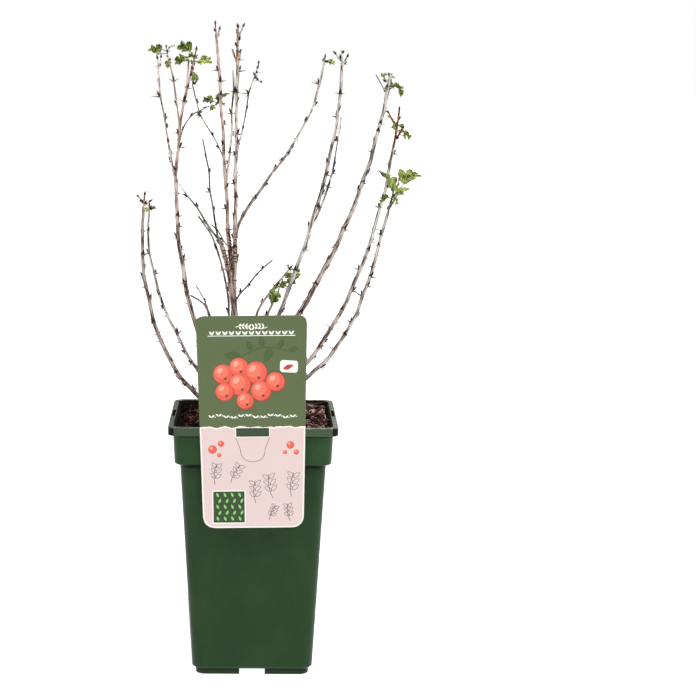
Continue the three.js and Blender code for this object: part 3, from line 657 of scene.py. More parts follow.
def disc(u, v, radius, stretch=1.0, lean=0.0, sides=40):
    ring = []
    for side in range(sides):
        angle = 2 * math.pi * side / sides
        ring.append(turned(u, v, radius * math.cos(angle), radius * stretch * math.sin(angle), lean))
    return ring


def leafShape(u, v, length, width, lean, steps=12):
    ring = []
    for side in (1, -1):
        for step in range(steps):
            t = step / steps if side > 0 else 1 - step / steps
            ring.append(turned(u, v, length * t,
                               side * width * math.sin(math.pi * t ** 0.85) / 2, lean))
    return ring


def strokeShape(line, width):                        # thin drawn line through places
    places = [Vector(place) for place in line]
    left, right = [], []
    for index, place in enumerate(places):
        before, after = places[max(index - 1, 0)], places[min(index + 1, len(places) - 1)]
        way = (after - before).normalized()
        side = Vector((-way.y, way.x)) * width / 2
        left.append(tuple(place + side))
        right.append(tuple(place - side))
    return right + left[::-1]


def arcLine(start, end, bulge, steps=14):
    a, b = Vector(start), Vector(end)
    across = Vector((-(b - a).y, (b - a).x)) * bulge
    return [tuple(a.lerp(b, step / steps) + across * math.sin(math.pi * step / steps))
            for step in range(steps + 1)]


def makeCard():
    skin = newSkin()
    front = cardBack - card["thickness"]
    paper = inkOrder.index("paper")
    windowTop = pot["height"] + gap
    half = card["windowWidth"] / 2
    topHalf, bottomHalf = card["topWidth"] / 2, card["bottomWidth"] / 2
    body = cornered([(-bottomHalf, card["bottom"], card["bottomCorner"]),
                     (bottomHalf, card["bottom"], card["bottomCorner"]),
                     (topHalf, card["top"], card["topCorner"]),
                     (-topHalf, card["top"], card["topCorner"])], card["cornerSteps"])
    window = [(-half, card["windowBottom"]), (-half, windowTop), (half, windowTop),
              (half, card["windowBottom"])]
    addPlate(skin, body, [window], front, cardBack, paper)
    narrow = card["tongueWidth"] / 2
    tongueBack = -pot["slotHalf"] + card["thickness"]
    addPlate(skin, [(-narrow, card["tongueBottom"]), (narrow, card["tongueBottom"]),
                    (narrow, windowTop), (-narrow, windowTop)], [],
             tongueBack - card["thickness"], tongueBack, paper)
    addPlate(skin, [(-narrow, windowTop), (narrow, windowTop),
                    (narrow, windowTop + card["thickness"]),
                    (-narrow, windowTop + card["thickness"])], [],
             cardBack - card["thickness"] / 2, tongueBack, paper)

    def printInk(outline, ink, layer):               # one shape of ink over what lies below
        addPlate(skin, outline, [], front - card["ink"] * layer, front, inkOrder.index(ink))

    torn, border = card["torn"], card["border"]
    topCorners = cornered([(cardSide(torn), torn, 0.01), (topHalf, card["top"], card["topCorner"]),
                           (-topHalf, card["top"], card["topCorner"]),
                           (-cardSide(torn), torn, 0.01)], card["cornerSteps"])
    fieldTop = [place for place in topCorners if place[1] > torn + 1]
    edge = tornEdge(torn, 0.6, -cardSide(torn), cardSide(torn))
    edge = [(u, max(v, windowTop + 0.05) if abs(u) < half + 0.6 else v) for u, v in edge]
    printInk(edge + fieldTop, "field", 1)
    low = cornered([(-cardSide(card["bottom"], border), card["bottom"] + border, 9),
                    (cardSide(card["bottom"], border), card["bottom"] + border, 9),
                    (cardSide(torn, border), torn, 0.01), (-cardSide(torn, border), torn, 0.01)],
                   card["cornerSteps"])
    fieldLow = [place for place in low if place[1] < torn - 1]
    upper = tornEdge(torn, -0.5, cardSide(torn, border), -cardSide(torn, border))
    upper = [(u, v) for u, v in upper if abs(u) > half + 0.5]
    right = [place for place in upper if place[0] > 0]
    left = [place for place in upper if place[0] < 0]
    notch = [(half + 0.4, card["windowBottom"] - 0.5), (-half - 0.4, card["windowBottom"] - 0.5)]
    printInk(fieldLow + right + notch + left, "blush", 1)

    cutLine = [(-half - 0.3, card["windowBottom"] - 0.6)]
    for step in range(25):
        t = math.pi * (1 - step / 24)
        cutLine.append((card["cutHalf"] * half * math.cos(t),
                        card["cutTop"] - card["cutDepth"] * math.sin(t) ** 0.8))
    cutLine.append((half + 0.3, card["windowBottom"] - 0.6))
    printInk(strokeShape(cutLine, 0.4), "line", 2)

    # Upper field: white sprigs at the top, a bunch of round berries on a leafy stem, a small
    # white tag, and a garland of leaves and dots at the foot.
    count, u, stride, v = card["row"]
    for index in range(count):
        for lean in (58, 122):
            printInk(leafShape(u + stride * index, v, 3.6, 1.5, math.radians(lean)), "white", 2)
    reach, v = card["rowLine"]
    printInk(strokeShape(arcLine((-reach, v), (reach, v), 0.0, 2), 0.55), "white", 3)
    for u, v, size, lean in card["branches"]:
        turn = math.radians(lean)
        tip = (u + size * math.cos(turn), v)
        printInk(strokeShape(arcLine((u, v), tip, 0.12), 0.5), "white", 2)
        for share in (0.25, 0.5, 0.75, 1):
            for side in (-1, 1):
                rise = 0.8 * math.sin(math.pi * share)
                printInk(leafShape(u + size * share * math.cos(turn), v + rise, 3, 1.3,
                                   turn + side * 0.9), "white", 3)
    stemLine = arcLine(*card["stem"], 22)
    printInk(strokeShape(stemLine, 0.9), "leafInk", 2)
    for share, lean, size in card["stemLeaves"]:
        u, v = stemLine[int(share * (len(stemLine) - 1))]
        turn = math.radians(lean)
        printInk(leafShape(u, v, size, size * 0.5, turn), "leafInk", 3)
        tip = (u + size * 0.85 * math.cos(turn), v + size * 0.85 * math.sin(turn))
        printInk(strokeShape(arcLine((u, v), tip, 0.02, 6), 0.35), "field", 4)
    for index, (u, v, radius) in enumerate(card["bunch"]):
        layer = 4 + 5 * index
        printInk(disc(u + 0.5, v - 0.6, radius), "shade", layer)
        printInk(disc(u, v, radius * 0.97), "coral", layer + 1)
        printInk(disc(u - radius * 0.14, v + radius * 0.16, radius * 0.66), "coralMid", layer + 2)
        printInk(disc(u - radius * 0.3, v + radius * 0.34, radius * 0.34, 0.7, 0.7), "coralPale",
                 layer + 3)
        for spoke in range(5):
            lean = math.radians(72 * spoke + 20)
            printInk(leafShape(u + radius * 0.25, v - radius * 0.5, 1.5, 0.7, lean, 5), "panel",
                     layer + 3)
    printInk(cornered(card["tag"], 6), "white", 4)
    u, v, length, width, lean = card["tagLeaf"]
    printInk(leafShape(u, v, length, width, math.radians(lean)), "shade", 5)
    count, start, stride, foot = card["garland"]
    for index in range(count):
        u = start + stride * index
        v = foot + 0.9 * math.sin(index * 1.7)
        for lean in (38, 142):
            printInk(leafShape(u, v, 3.0, 1.3, math.radians(lean)), "white", 2)
        printInk(disc(u + 2.8, v + 0.4, 0.45, sides=10), "white", 2)

    # Lower field: a dark panel with rows of small leaves, line-drawn sprigs and berries.
    panelLow, panelHigh = card["panel"]
    for grow, ink, layer in ((0.7, "white", 2), (0, "panel", 3)):
        printInk([(panelLow[0] - grow, panelLow[1] - grow), (panelHigh[0] + grow, panelLow[1] - grow),
                  (panelHigh[0] + grow, panelHigh[1] + grow),
                  (panelLow[0] - grow, panelHigh[1] + grow)], ink, layer)
    for row in range(card["panelRows"]):
        for column in range(card["panelColumns"]):
            u = panelLow[0] + 3.4 + 5.6 * column + (1.4 if row % 2 else 0)
            v = panelLow[1] + 3.0 + 4.6 * row
            lean = math.radians(65 if row % 2 else 115)
            printInk(leafShape(u - math.cos(lean) * 1.6, v - 1.6, 3.9, 1.7, lean, 8), "fresh", 4)
    for u, v, size, lean in card["sprigs"]:
        turn = math.radians(lean)
        tip = (u + size * 1.25 * math.cos(turn), v + size * 1.25 * math.sin(turn))
        printInk(strokeShape(arcLine((u, v), tip, 0.08), 0.45), "line", 2)
        for share in (0.3, 0.55, 0.8):
            for side in (-1, 1):
                foot = (u + (tip[0] - u) * share, v + (tip[1] - v) * share)
                shape = leafShape(*foot, size * 0.42, size * 0.19, turn + side * 0.85, 7)
                printInk(strokeShape(shape + shape[:1], 0.36), "line", 2)
    for u, v, radius in card["berries"]:
        printInk(disc(u, v, radius, sides=24), "shade", 2)
        printInk(disc(u - 0.1, v + 0.15, radius * 0.94, sides=24), "coral", 3)
        printInk(disc(u - radius * 0.25, v + radius * 0.3, radius * 0.35, sides=16), "coralPale", 4)
    addPiece("printed_card", skin, cardInks, ["hang_card"], smooth=False)


makeCard()
print("card printed")


# Limbs: where each stands, azimuth, reach and rise of its tip, lean and pull at both ends,
# radius at foot and tip, and the look of its bark

limbs = {
    "trunk": (None, 0, -135, 4, 147, (15, -4), (0.1, 0.25), (3.1, 1.65),
        ("old", "old", 1)),
    "centre_stem": ("trunk", 1, -82, 9, 145, (0, 8), (0.1, 0.35), (1.65, 1.15),
        ("plum", "lilac", 0.3)),
    "middle_stem": ("trunk", 0.72, 115, 35, 195, (24, 13), (0.15, 0.3), (1.7, 1.0),
        ("plum", "rose", 0.2)),
    "knuckle_spur": ("trunk", 0.64, -129, 16, 54, (30, 30), (0.1, 0.45), (1.9, 1.5),
        ("old", "old", 1)),
    "diagonal_shoot": ("knuckle_spur", 1, -118, 64, 48, (57, 57), (0.3, 0.35), (0.75, 0.5),
        ("thin", "lilac", 0.8)),
    "back_left_shoot": ("knuckle_spur", 0.88, 104, 77, 85, (66, 50), (0.5, 0.4), (0.8, 0.5),
        ("thin", "thin", 1)),
    "slim_shoot": ("trunk", 0.24, 131, 47, 139, (25, 54), (0.25, 0.45), (0.9, 0.5),
        ("thin", "dusky", 0.6)),
    "inner_left_stem": ("trunk", 0.13, -138, 49, 260, (42, -19), (0.3, 0.35), (2.0, 0.8),
        ("plum", "rose", 0.55)),
    "left_fork": ("inner_left_stem", 0.87, 106, 33, 48, (22, 46), (0.4, 0.3), (0.9, 0.6),
        ("rose", "straw", 0.5)),
    "outer_left_fork": ("inner_left_stem", 0.72, -108, 37, 84, (27, 13), (0.4, 0.35), (0.9, 0.55),
        ("rose", "lilac", 0.2)),
    "low_left_stem": ("trunk", 0.05, -139, 93, 172, (70, -7), (0.4, 0.35), (1.8, 1.05),
        ("old", "dusky", 0.35)),
    "high_left_stem": ("trunk", 0.09, 141, 93, 159, (59, -9), (0.3, 0.35), (1.2, 0.6),
        ("dusky", "lilac", 0.5)),
    "back_right_bough": ("centre_stem", 0.05, 51, 113, 133, (28, 13), (0.25, 0.4), (1.2, 0.65),
        ("dusky", "lilac", 0.6)),
    "front_right_spur": ("trunk", 0.67, -65, 69, 40, (54, 66), (0.3, 0.4), (0.7, 0.5),
        ("thin", "thin", 1)),
    "front_right_stem": ("trunk", 0.2, -36, 96, 260, (33, 0), (0.3, 0.25), (1.9, 1.0),
        ("plum", "lilac", 0.15)),
    "front_right_fork": ("front_right_stem", 0.54, 50, 37, 83, (56, 6), (0.2, 0.35), (0.9, 0.55),
        ("lilac", "lilac", 1)),
    "inner_right_stem": ("trunk", 0.17, 29, 137, 247, (41, 12), (0.45, 0.3), (2.1, 1.2),
        ("plum", "lilac", 0.6)),
    "middle_right_stem": ("trunk", 0.1, 9, 124, 214, (69, 9), (0.3, 0.4), (1.7, 1.05),
        ("plum", "lilac", 0.45)),
    "outer_right_stem": ("trunk", 0.06, -20, 121, 166, (64, 15), (0.5, 0.4), (1.7, 1.1),
        ("plum", "lilac", 0.3)),
    "middle_side_twig": ("middle_stem", 0.48, 84, 45, 90, (60, -30), (0.25, 0.25), (0.75, 0.5),
        ("rose", "lilac", 0.4)),
    "middle_back_twig": ("middle_stem", 0.57, 110, 79, 57, (26, 18), (0.15, 0.3), (0.55, 0.45),
        ("thin", "dusky", 0.1)),
    "centre_side_twig": ("centre_stem", 0.52, -79, 69, 60, (57, 64), (0.4, 0.35), (0.7, 0.5),
        ("thin", "lilac", 0.12)),
    "low_front_twig": ("trunk", 0.3, -117, 65, 85, (34, 47), (0.45, 0.35), (0.55, 0.45),
        ("thin", "thin", 1)),
    "low_back_twig": ("trunk", 0.42, -162, 36, 53, (51, 72), (0.5, 0.35), (0.6, 0.5),
        ("thin", "thin", 1)),
    "short_spur": ("middle_stem", 0.25, 165, 15, 18, (50, 55), (0.3, 0.4), (0.6, 0.5),
        ("old", "thin", 0.5)),
    "leafy_back_spur": ("trunk", 0.31, 38, 52, 86, (30, 52), (0.5, 0.6), (1.0, 0.6),
        ("dusky", "straw", 0.8)),
    "leafy_front_spur": ("trunk", 0.29, -48, 46, 76, (59, 35), (0.25, 0.3), (0.9, 0.55),
        ("lilac", "straw", 0.6)),
    "hooked_twig": ("inner_left_stem", 0.82, 70, 72, 29, (24, 83), (0.4, 0.15), (0.6, 0.45),
        ("thin", "thin", 1))
}
budRule = {
    "least": 3, "spacing": 17, "zigzag": 0.45, "turn": 137.5, "spine": (82, 0.44, 5.8),
    "armed": 0.62, "weakArmed": 0.3, "bareShare": 0.1, "size": (0.75, 0.5), "sunk": 0.5,
    "budOpening": 26, "budRadius": 0.92, "budLength": 4.2, "sideTurn": 0.95,
    "between": 0.45, "fan": 6, "sideSpine": 0.78, "loneSpine": 0.55, "budSeat": 0.72,
    "spineSeat": 0.6, "sag": 0.3, "spineClear": 0.6, "budClear": 0.4
}
flare = {"radius": 3.2, "height": 0.13}
curves, ways = {}, {}


def curvePoint(curve, t):
    a, b, c, d = curve
    k = 1 - t
    return a * k ** 3 + b * (3 * k * k * t) + c * (3 * k * t * t) + d * t ** 3


def curveWay(curve, t):
    step = 0.001
    return (curvePoint(curve, min(1, t + step)) - curvePoint(curve, max(0, t - step))).normalized()


def limbCurve(name):
    if name not in curves:
        on, at, azimuth, reach, rise, lean, pull = limbs[name][:7]
        foot = groundFoot
        if on:
            foot = along(limbWay(on), at)
            if at == 1:
                foot = foot + curveWay(limbCurve(on), 1) * gap
        turn = math.radians(azimuth)
        out = Vector((math.cos(turn), math.sin(turn), 0))
        tip = foot + out * reach + up * rise
        span = (tip - foot).length
        leans = [out * math.sin(math.radians(angle)) + up * math.cos(math.radians(angle))
                 for angle in lean]
        curves[name] = (foot, foot + leans[0] * span * pull[0],
                        tip - leans[1] * span * pull[1], tip)
    return curves[name]


def limbRadius(name, share):
    foot, tip = limbs[name][7]
    widening = 0 if limbs[name][0] else flare["radius"] * math.exp(-share / flare["height"])
    return foot + (tip - foot) * share + widening


def limbWay(name):
    if name not in ways:
        curve = limbCurve(name)
        places = [curvePoint(curve, step / 200) for step in range(201)]
        length = sum((b - a).length for a, b in zip(places, places[1:]))
        steps = max(budRule["least"], int(length / budRule["spacing"] + 0.5))
        points = []
        for step in range(steps + 1):
            turn = math.radians(budRule["turn"] * step)
            out = budRule["zigzag"] if 0 < step < steps else 0
            points.append(curvePoint(curve, step / steps)
                          + around(curveWay(curve, step / steps), turn, math.pi / 2) * out)
        ways[name] = points
    return ways[name]


for limbName in limbs:
    limbWay(limbName)


def nearestLimb(point, skipped=None):                # distance to the nearest limb's surface
    least = 1e9
    for name, way in ways.items():
        if name == skipped:
            continue
        for index in range(len(way) - 1):
            a, b = way[index], way[index + 1]
            t = min(1, max(0, (point - a).dot(b - a) / (b - a).length_squared))
            radius = limbRadius(name, index / (len(way) - 1))
            least = min(least, (a.lerp(b, t) - point).length - radius)
    return least


def addSpine(skin, foot, direction, radius, length, sag):
    rings = []
    for share, full in ((0, 1.15), (0.12, 0.85), (0.4, 0.64), (0.72, 0.42), (1, 0.08)):
        centre = foot + direction * length * share - up * sag * share * share
        rings.append([centre + around(direction, 2 * math.pi * side / 5, math.pi / 2) * radius * full
                      for side in range(5)])
    addRings(skin, rings, lambda row, side: 1 if row > 2 else 0, (0, 1))


def addBud(skin, foot, direction, radius, length, kind):
    profile = ((0, 0.6), (0.14, 0.98), (0.32, 1), (0.36, 0.86), (0.55, 0.8), (0.6, 0.66),
               (0.82, 0.36), (1, 0.05))
    rings = []
    for share, full in profile:
        centre = foot + direction * length * share
        ring = []
        for side in range(7):
            angle = 2 * math.pi * side / 7
            ring.append(centre + around(direction, angle, math.pi / 2)
                        * radius * full * (1 + 0.12 * math.cos(2 * angle + 3 * share)))
        rings.append(ring)
    addRings(skin, rings, kind)


spines, buds = newSkin(), newSkin()
barkLook = {"ring": 0.8, "sides": 14, "thinSides": 9, "thinRadius": 1.0, "ridge": 0.085,
            "ridgeLength": 8, "pits": 0.05, "swell": 0.34, "swellLength": 1.5, "scar": 0.6,
            "collar": 0.75, "collarLength": 2.2, "ringSpacing": 2.7, "groove": 0.2,
            "stout": (0.7, 0.58, 0.9), "patch": 5, "patchy": 0.45, "ridges": 1.6,
            "pitSize": 1.3, "markReach": 5, "knob": (0.55, 1.2),
            "ringed": {"trunk": (0.84, 1.01, 0.5), "knuckle_spur": (0.55, 1.08, 1.35),
                       "middle_stem": (0.13, 0.34, 1.0), "centre_stem": (-0.01, 0.08, 0.5)},
            "over": {"diagonal_shoot": 0.14, "slim_shoot": 0.25, "back_left_shoot": 0.1,
                     "inner_left_stem": 0.25, "left_fork": -0.08, "outer_left_fork": 0.12,
                     "low_left_stem": 0.12, "high_left_stem": 0.28, "back_right_bough": 0.2,
                     "front_right_stem": 0.1, "front_right_fork": 0.12, "front_right_spur": 0.07,
                     "inner_right_stem": 0.26, "middle_right_stem": 0.22, "outer_right_stem": 0.06,
                     "middle_side_twig": 0.25, "middle_back_twig": 0.03, "centre_side_twig": 0.02,
                     "low_back_twig": 0.2, "leafy_back_spur": 0.25, "leafy_front_spur": 0.3}}


def barkRadius(name, share):                         # the bark stands a little over the wood
    return limbRadius(name, share) + barkLook["over"].get(name, 0)


def limbNodes(name):                                 # buds and spines: share, turn, size, armed
    steps = len(ways[name]) - 1
    weak = limbs[name][8][0] == "thin"
    following = seeded(len(name) * 97 + steps)
    found = []
    for step in range(1, steps):
        size = budRule["size"][0] + budRule["size"][1] * following()
        limit = budRule["weakArmed"] if weak else budRule["armed"]
        armed = following() < limit and step / steps > budRule["bareShare"]
        found.append((step / steps, math.radians(budRule["turn"] * step), size, armed))
    extra = seeded(len(name) * 53 + steps + 7)
    for step in range(steps):
        chance, shift, turn, size = extra(), extra(), extra(), extra()
        if chance < budRule["between"] and steps > 3 and not weak:
            share = (step + 0.35 + 0.3 * shift) / steps
            found.append((share, 2 * math.pi * turn, 0.6 + 0.35 * size,
                          size > 0.35 and share > budRule["bareShare"]))
    return found


def dressNode(name, share, turn, size, armed, index):
    way = smoothWays[name]
    point = along(way, share)
    axis = curveWay(curves[name], share)
    radius = barkRadius(name, share)
    side = around(axis, turn, math.pi / 2)
    foot = point + side * radius * budRule["budSeat"]
    widest, thick, long = budRule["spine"]
    length = long * size + radius * budRule["sunk"]
    turns = (0, budRule["sideTurn"], -budRule["sideTurn"])[:3 if armed else 1]
    for order, offset in enumerate(turns):
        direction = around(axis, turn + offset, math.radians(widest - budRule["fan"] * order))
        reach = length * (budRule["sideSpine"] if order else 1)
        reach *= 1 if armed else budRule["loneSpine"]
        start = point + around(axis, turn + offset, math.pi / 2) * radius * budRule["spineSeat"]
        clear = min(nearestLimb(start + direction * reach, name), nearestLimb(start, name))
        if clear > budRule["spineClear"]:
            addSpine(spines, start - axis * 0.3, direction, thick * (0.8 + 0.3 * size), reach,
                     budRule["sag"])
    tone = 1 if (index * 7 + len(name)) % 9 == 0 else 2 if (index * 5 + len(name)) % 11 == 0 else 0
    if nearestLimb(foot + side * 2, name) > budRule["budClear"]:
        addBud(buds, foot + axis * 0.7, around(axis, turn, math.radians(budRule["budOpening"])),
               budRule["budRadius"] * (0.7 + 0.3 * size) * (0.75 + 0.25 * min(radius, 1)),
               budRule["budLength"] * size, tone)


def makeLimb(name):
    low, high, change = limbs[name][8]
    found = limbNodes(name)
    way = smoothWay(ways[name], barkLook["ring"])
    smoothWays[name] = [point for point, _ in way]
    lengths = [0.0]
    for (a, _), (b, _) in zip(way, way[1:]):
        lengths.append(lengths[-1] + (b - a).length)
    marks = [(share * lengths[-1], turn) for share, turn, _, _ in found]
    thin = limbs[name][7][0] < barkLook["thinRadius"]
    sides = barkLook["thinSides"] if thin else barkLook["sides"]
    offset = Vector((len(name) * 3.7, ord(name[0]) * 1.3, ord(name[-1]) * 0.7))
    rings, scars, grain = [], [], []
    ringed = barkLook["ringed"].get(name)
    upper, lower, more = barkLook["stout"]           # the trunk is stouter below its first spur
    for (point, share), length in zip(way, lengths):
        before = along(smoothWays[name], max(share - 0.01, 0))
        after = along(smoothWays[name], min(share + 0.01, 1))
        axis = (after - before).normalized()
        radius = barkRadius(name, share)
        if name == "trunk":
            radius += more * min(1, max(0, (upper - share) / (upper - lower)))
        collar = barkLook["collar"] * math.exp(-length / barkLook["collarLength"])
        if name == "trunk":
            collar = 0
        ring, dark = [], []
        for side in range(sides):
            angle = 2 * math.pi * side / sides
            direction = around(axis, angle, math.pi / 2)
            place = Vector((math.cos(angle) * barkLook["ridges"], math.sin(angle) * barkLook["ridges"],
                            length / barkLook["ridgeLength"]))
            ridge = noise.noise(place + offset) * barkLook["ridge"]
            pitted = (point + direction * radius) * barkLook["pitSize"]
            pit = noise.noise(pitted) * barkLook["pits"]
            swell, scar = 0.0, False
            for mark, turn in marks:
                away = length - mark
                if abs(away) < barkLook["markReach"]:
                    facing = 0.5 + 0.5 * math.cos(angle - turn)
                    bulge = math.exp(-(away / barkLook["swellLength"]) ** 2)
                    swell += barkLook["swell"] * bulge * facing
                    scar = scar or (abs(away - 0.3) < barkLook["scar"] and facing > 0.7)
            knob = 0.0
            if ringed and ringed[0] < share < ringed[1]:     # old leaf scars stand in rings
                rise = math.sin(math.pi * (share - ringed[0]) / (ringed[1] - ringed[0])) ** 0.5
                lump = noise.noise((point + direction * radius) / 4 + offset)
                wave = 0.5 + 0.5 * math.cos(2 * math.pi * (length / barkLook["ringSpacing"] + lump))
                least, extra = barkLook["knob"]
                knob = ringed[2] * rise * wave * (least + extra * max(0, lump))
                scar = scar or (wave < barkLook["groove"] and rise > 0.4)
            full = radius * (1 + ridge + collar * 0.6) + pit + swell * (0.5 + 0.5 * radius) + knob
            ring.append(point + direction * full)
            flat = Vector((math.cos(angle) * radius, math.sin(angle) * radius, length))
            grain.append(flat + offset * 9)
            dark.append(scar)
        rings.append(ring)
        scars.append(dark)

    def kindOf(row, side):                           # the upper tone sets in by patches
        patch = noise.noise(rings[row][side] / barkLook["patch"] + offset) * barkLook["patchy"]
        if scars[row][side]:
            return 2
        return 1 if way[row][1] + patch > change else 0

    skin = newSkin()
    addRings(skin, rings, kindOf, (0, 3))
    skin["grain"] = grain
    addPiece(name + "_bark", skin, [barkTones[low], barkTones[high], nodeBark, cutWood],
             [name])
    for index, (share, turn, size, armed) in enumerate(found):
        dressNode(name, share, turn, size, armed, index)


smoothWays = {}
for limbName in limbs:
    makeLimb(limbName)
print("limbs grown")


# Tufts at the tips: stem length, side twigs, spread, leaves, leaf length, reach, seed, and
# the look of the wood and its end

tufts = {
    "left_fork_tuft": ("left_fork", 16, 0, 21, 1, 13, 26, 366, "rose", "bud"),
    "inner_left_tuft": ("inner_left_stem", 23, 1, 9, 4, 11, 34, 41571, "rose", "bud"),
    "outer_left_tuft": ("outer_left_fork", 9, 1, 28, 0, 9, 14, 4178, "rose", "bud"),
    "low_left_tuft": ("low_left_stem", 9, 2, 59, 0, 6, 16, 1587, "straw", "bud"),
    "high_left_tuft": ("high_left_stem", 3, 1, 72, 2, 4, 12, 5940, "thin", "bud"),
    "hooked_tuft": ("hooked_twig", 10, 0, 43, 4, 11, 18, 5805, "thin", "bud"),
    "middle_back_tuft": ("middle_back_twig", 4, 1, 48, 0, 6, 10, 9104, "thin", "bud"),
    "middle_tuft": ("middle_stem", 13, 1, 33, 0, 6, 18, 6525, "rose", "bud"),
    "centre_tuft": ("centre_stem", 19, 2, 45, 0, 5, 24, 3572, "straw", "cut"),
    "centre_side_tuft": ("centre_side_twig", 23, 1, 51, 0, 5, 26, 6288, "thin", "bud"),
    "back_right_tuft": ("back_right_bough", 4, 1, 80, 1, 6, 14, 4112, "lilac", "bud"),
    "front_right_tuft": ("front_right_stem", 14, 2, 43, 0, 6, 20, 9577, "lilac", "cut"),
    "inner_right_tuft": ("inner_right_stem", 14, 2, 67, 4, 11, 26, 92089, "lilac", "cut"),
    "middle_right_tuft": ("middle_right_stem", 26, 2, 64, 4, 8, 34, 78410, "young", "bud"),
    "outer_right_tuft": ("outer_right_stem", 24, 1, 23, 4, 15, 42, 7091, "lilac", "bud"),
    "leafy_back_tuft": ("leafy_back_spur", 3, 0, 24, 2, 9, 20, 6641, "lilac", "bud"),
    "leafy_front_tuft": ("leafy_front_spur", 3, 0, 33, 3, 12, 22, 5147, "rose", "bud")
}
growth = {
    "lengths": 3, "lift": 0.12, "mainTwig": 0.84, "sideTwig": 0.74, "twigTip": 0.72,
    "sideRoot": (0.15, 0.4), "sideTurn": (0, 0.5), "sideOpening": (0.7, 0.6),
    "sideLength": (0.6, 0.6), "leafRoot": (0.3, 0.65), "leafTurn": (0, 1),
    "leafOpening": (50, 45), "stalk": (0.35, 0.5), "leafLength": (0.7, 0.45),
    "droop": (-20, 80), "roll": (-60, 120), "halfWidth": 0.35,
    "youngLeaves": 3, "youngSize": 0.5, "budSpacing": 5.2, "bright": 12.5, "small": 0.62,
    "cutTaper": 0.85, "tipOpening": 8, "spine": (0.3, 3.4, 0.2),
    "spineOpening": 78, "spineShift": 1.1
}
stubs = [                                            # limb, share, turn, opening, length, radius, bark
    ("centre_stem", 0.92, 180, 20, 13, 0.72, "straw"),
    ("centre_stem", 0.93, 0, 12, 11, 0.75, "lilac"),
    ("centre_stem", 0.925, 270, 2, 10.2, 1.25, "peeled"),
    ("centre_stem", 0.86, 300, 40, 2.6, 1.0, "lilac"),
    ("inner_left_stem", 0.97, 180, 9, 22, 0.72, "rose"),
    ("inner_left_stem", 0.93, 350, 35, 4, 1.0, "rose"),
    ("inner_right_stem", 0.98, 60, 20, 5, 1.35, "lilac"),
    ("front_right_stem", 0.9, 20, 45, 3, 0.9, "lilac"),
    ("middle_right_stem", 0.8, 200, 50, 2.5, 0.9, "lilac"),
    ("knuckle_spur", 0.97, 160, 30, 4, 1.5, "old"),
    ("inner_right_stem", 0.99, 180, 40, 18, 0.45, "thin"),
    ("trunk", 0.99, 200, 25, 6, 1.5, "old")
]
leafLook = {
    "half": [(-0.05, 0.09), (-0.05, 0.2), (0.0, 0.31), (0.03, 0.37), (0.09, 0.44), (0.14, 0.42),
             (0.21, 0.51), (0.28, 0.49), (0.36, 0.54), (0.41, 0.47), (0.46, 0.46), (0.45, 0.36),
             (0.43, 0.26), (0.5, 0.29), (0.56, 0.37), (0.62, 0.35), (0.7, 0.42), (0.76, 0.38),
             (0.82, 0.4), (0.82, 0.31), (0.86, 0.27), (0.8, 0.19), (0.77, 0.13), (0.84, 0.14),
             (0.9, 0.13), (0.94, 0.07)],
    "columns": (0, 0.36, 0.7, 1), "fold": (0.2, 0.55), "curl": (0.08, 0.45), "puff": 0.06,
    "edge": 0.7, "thickness": 0.24,
    "veins": [(0.97, 0.0), (0.8, 0.37), (0.35, 0.5), (0.02, 0.28)], "veinRadius": 0.3,
    "stalkRadius": 0.42
}


def twigWay(foot, direction, length):
    points, way = [foot], direction.copy()
    for _ in range(growth["lengths"]):
        points.append(points[-1] + way * length / growth["lengths"])
        way = (way + up * growth["lift"]).normalized()
    return points


def growTuft(name):
    on, stem, count, opening, leafCount, leafLength, reach, seed = tufts[name][:8]
    following = seeded(seed)

    def draw(key):
        least, more = growth[key]
        return least + more * following()

    axis = curveWay(curves[on], 1)
    foot = curvePoint(curves[on], 1) + axis * gap
    thick = barkRadius(on, 1)
    main = twigWay(foot, axis, stem)
    twigs = [(main, thick * growth["mainTwig"])]
    start = 2 * math.pi * following()
    for index in range(count):
        share = (index + draw("sideRoot")) / (count + 1)
        turn = start + 2 * math.pi * (index + draw("sideTurn")) / count
        angle = math.radians(opening * draw("sideOpening"))
        length = stem * (1 - share) * draw("sideLength")
        twigs.append((twigWay(along(main, share), around(axis, turn, angle), length),
                      thick * growth["sideTwig"]))
    leaves = []

    def growLeaf(index, size):
        host = twigs[index % len(twigs)][0]
        root = along(host, draw("leafRoot"))
        turn = start + math.radians(budRule["turn"]) * index + draw("leafTurn")
        way = around(axis, turn, math.radians(draw("leafOpening")))
        heel = root + way * leafLength * size * draw("stalk")
        length = leafLength * size * draw("leafLength")
        level = way.cross(up).normalized()
        forward = way.copy()
        forward.rotate(Quaternion(level, -math.radians(draw("droop"))))
        across = level.copy()
        across.rotate(Quaternion(forward, math.radians(draw("roll"))))
        tip = heel + forward * length
        far = max((tip - foot).length, (heel - foot).length)
        middle = heel.lerp(tip, 0.5)
        room = min(nearestLimb(tip), nearestLimb(middle) - length * growth["halfWidth"])
        if far < reach and room > 1:
            leaves.append((root, heel, forward, across, length))

    for index in range(leafCount):
        growLeaf(index, 1)
    if leafCount:
        for index in range(growth["youngLeaves"]):
            growLeaf(index + 1, growth["youngSize"])
    return twigs, leaves, axis


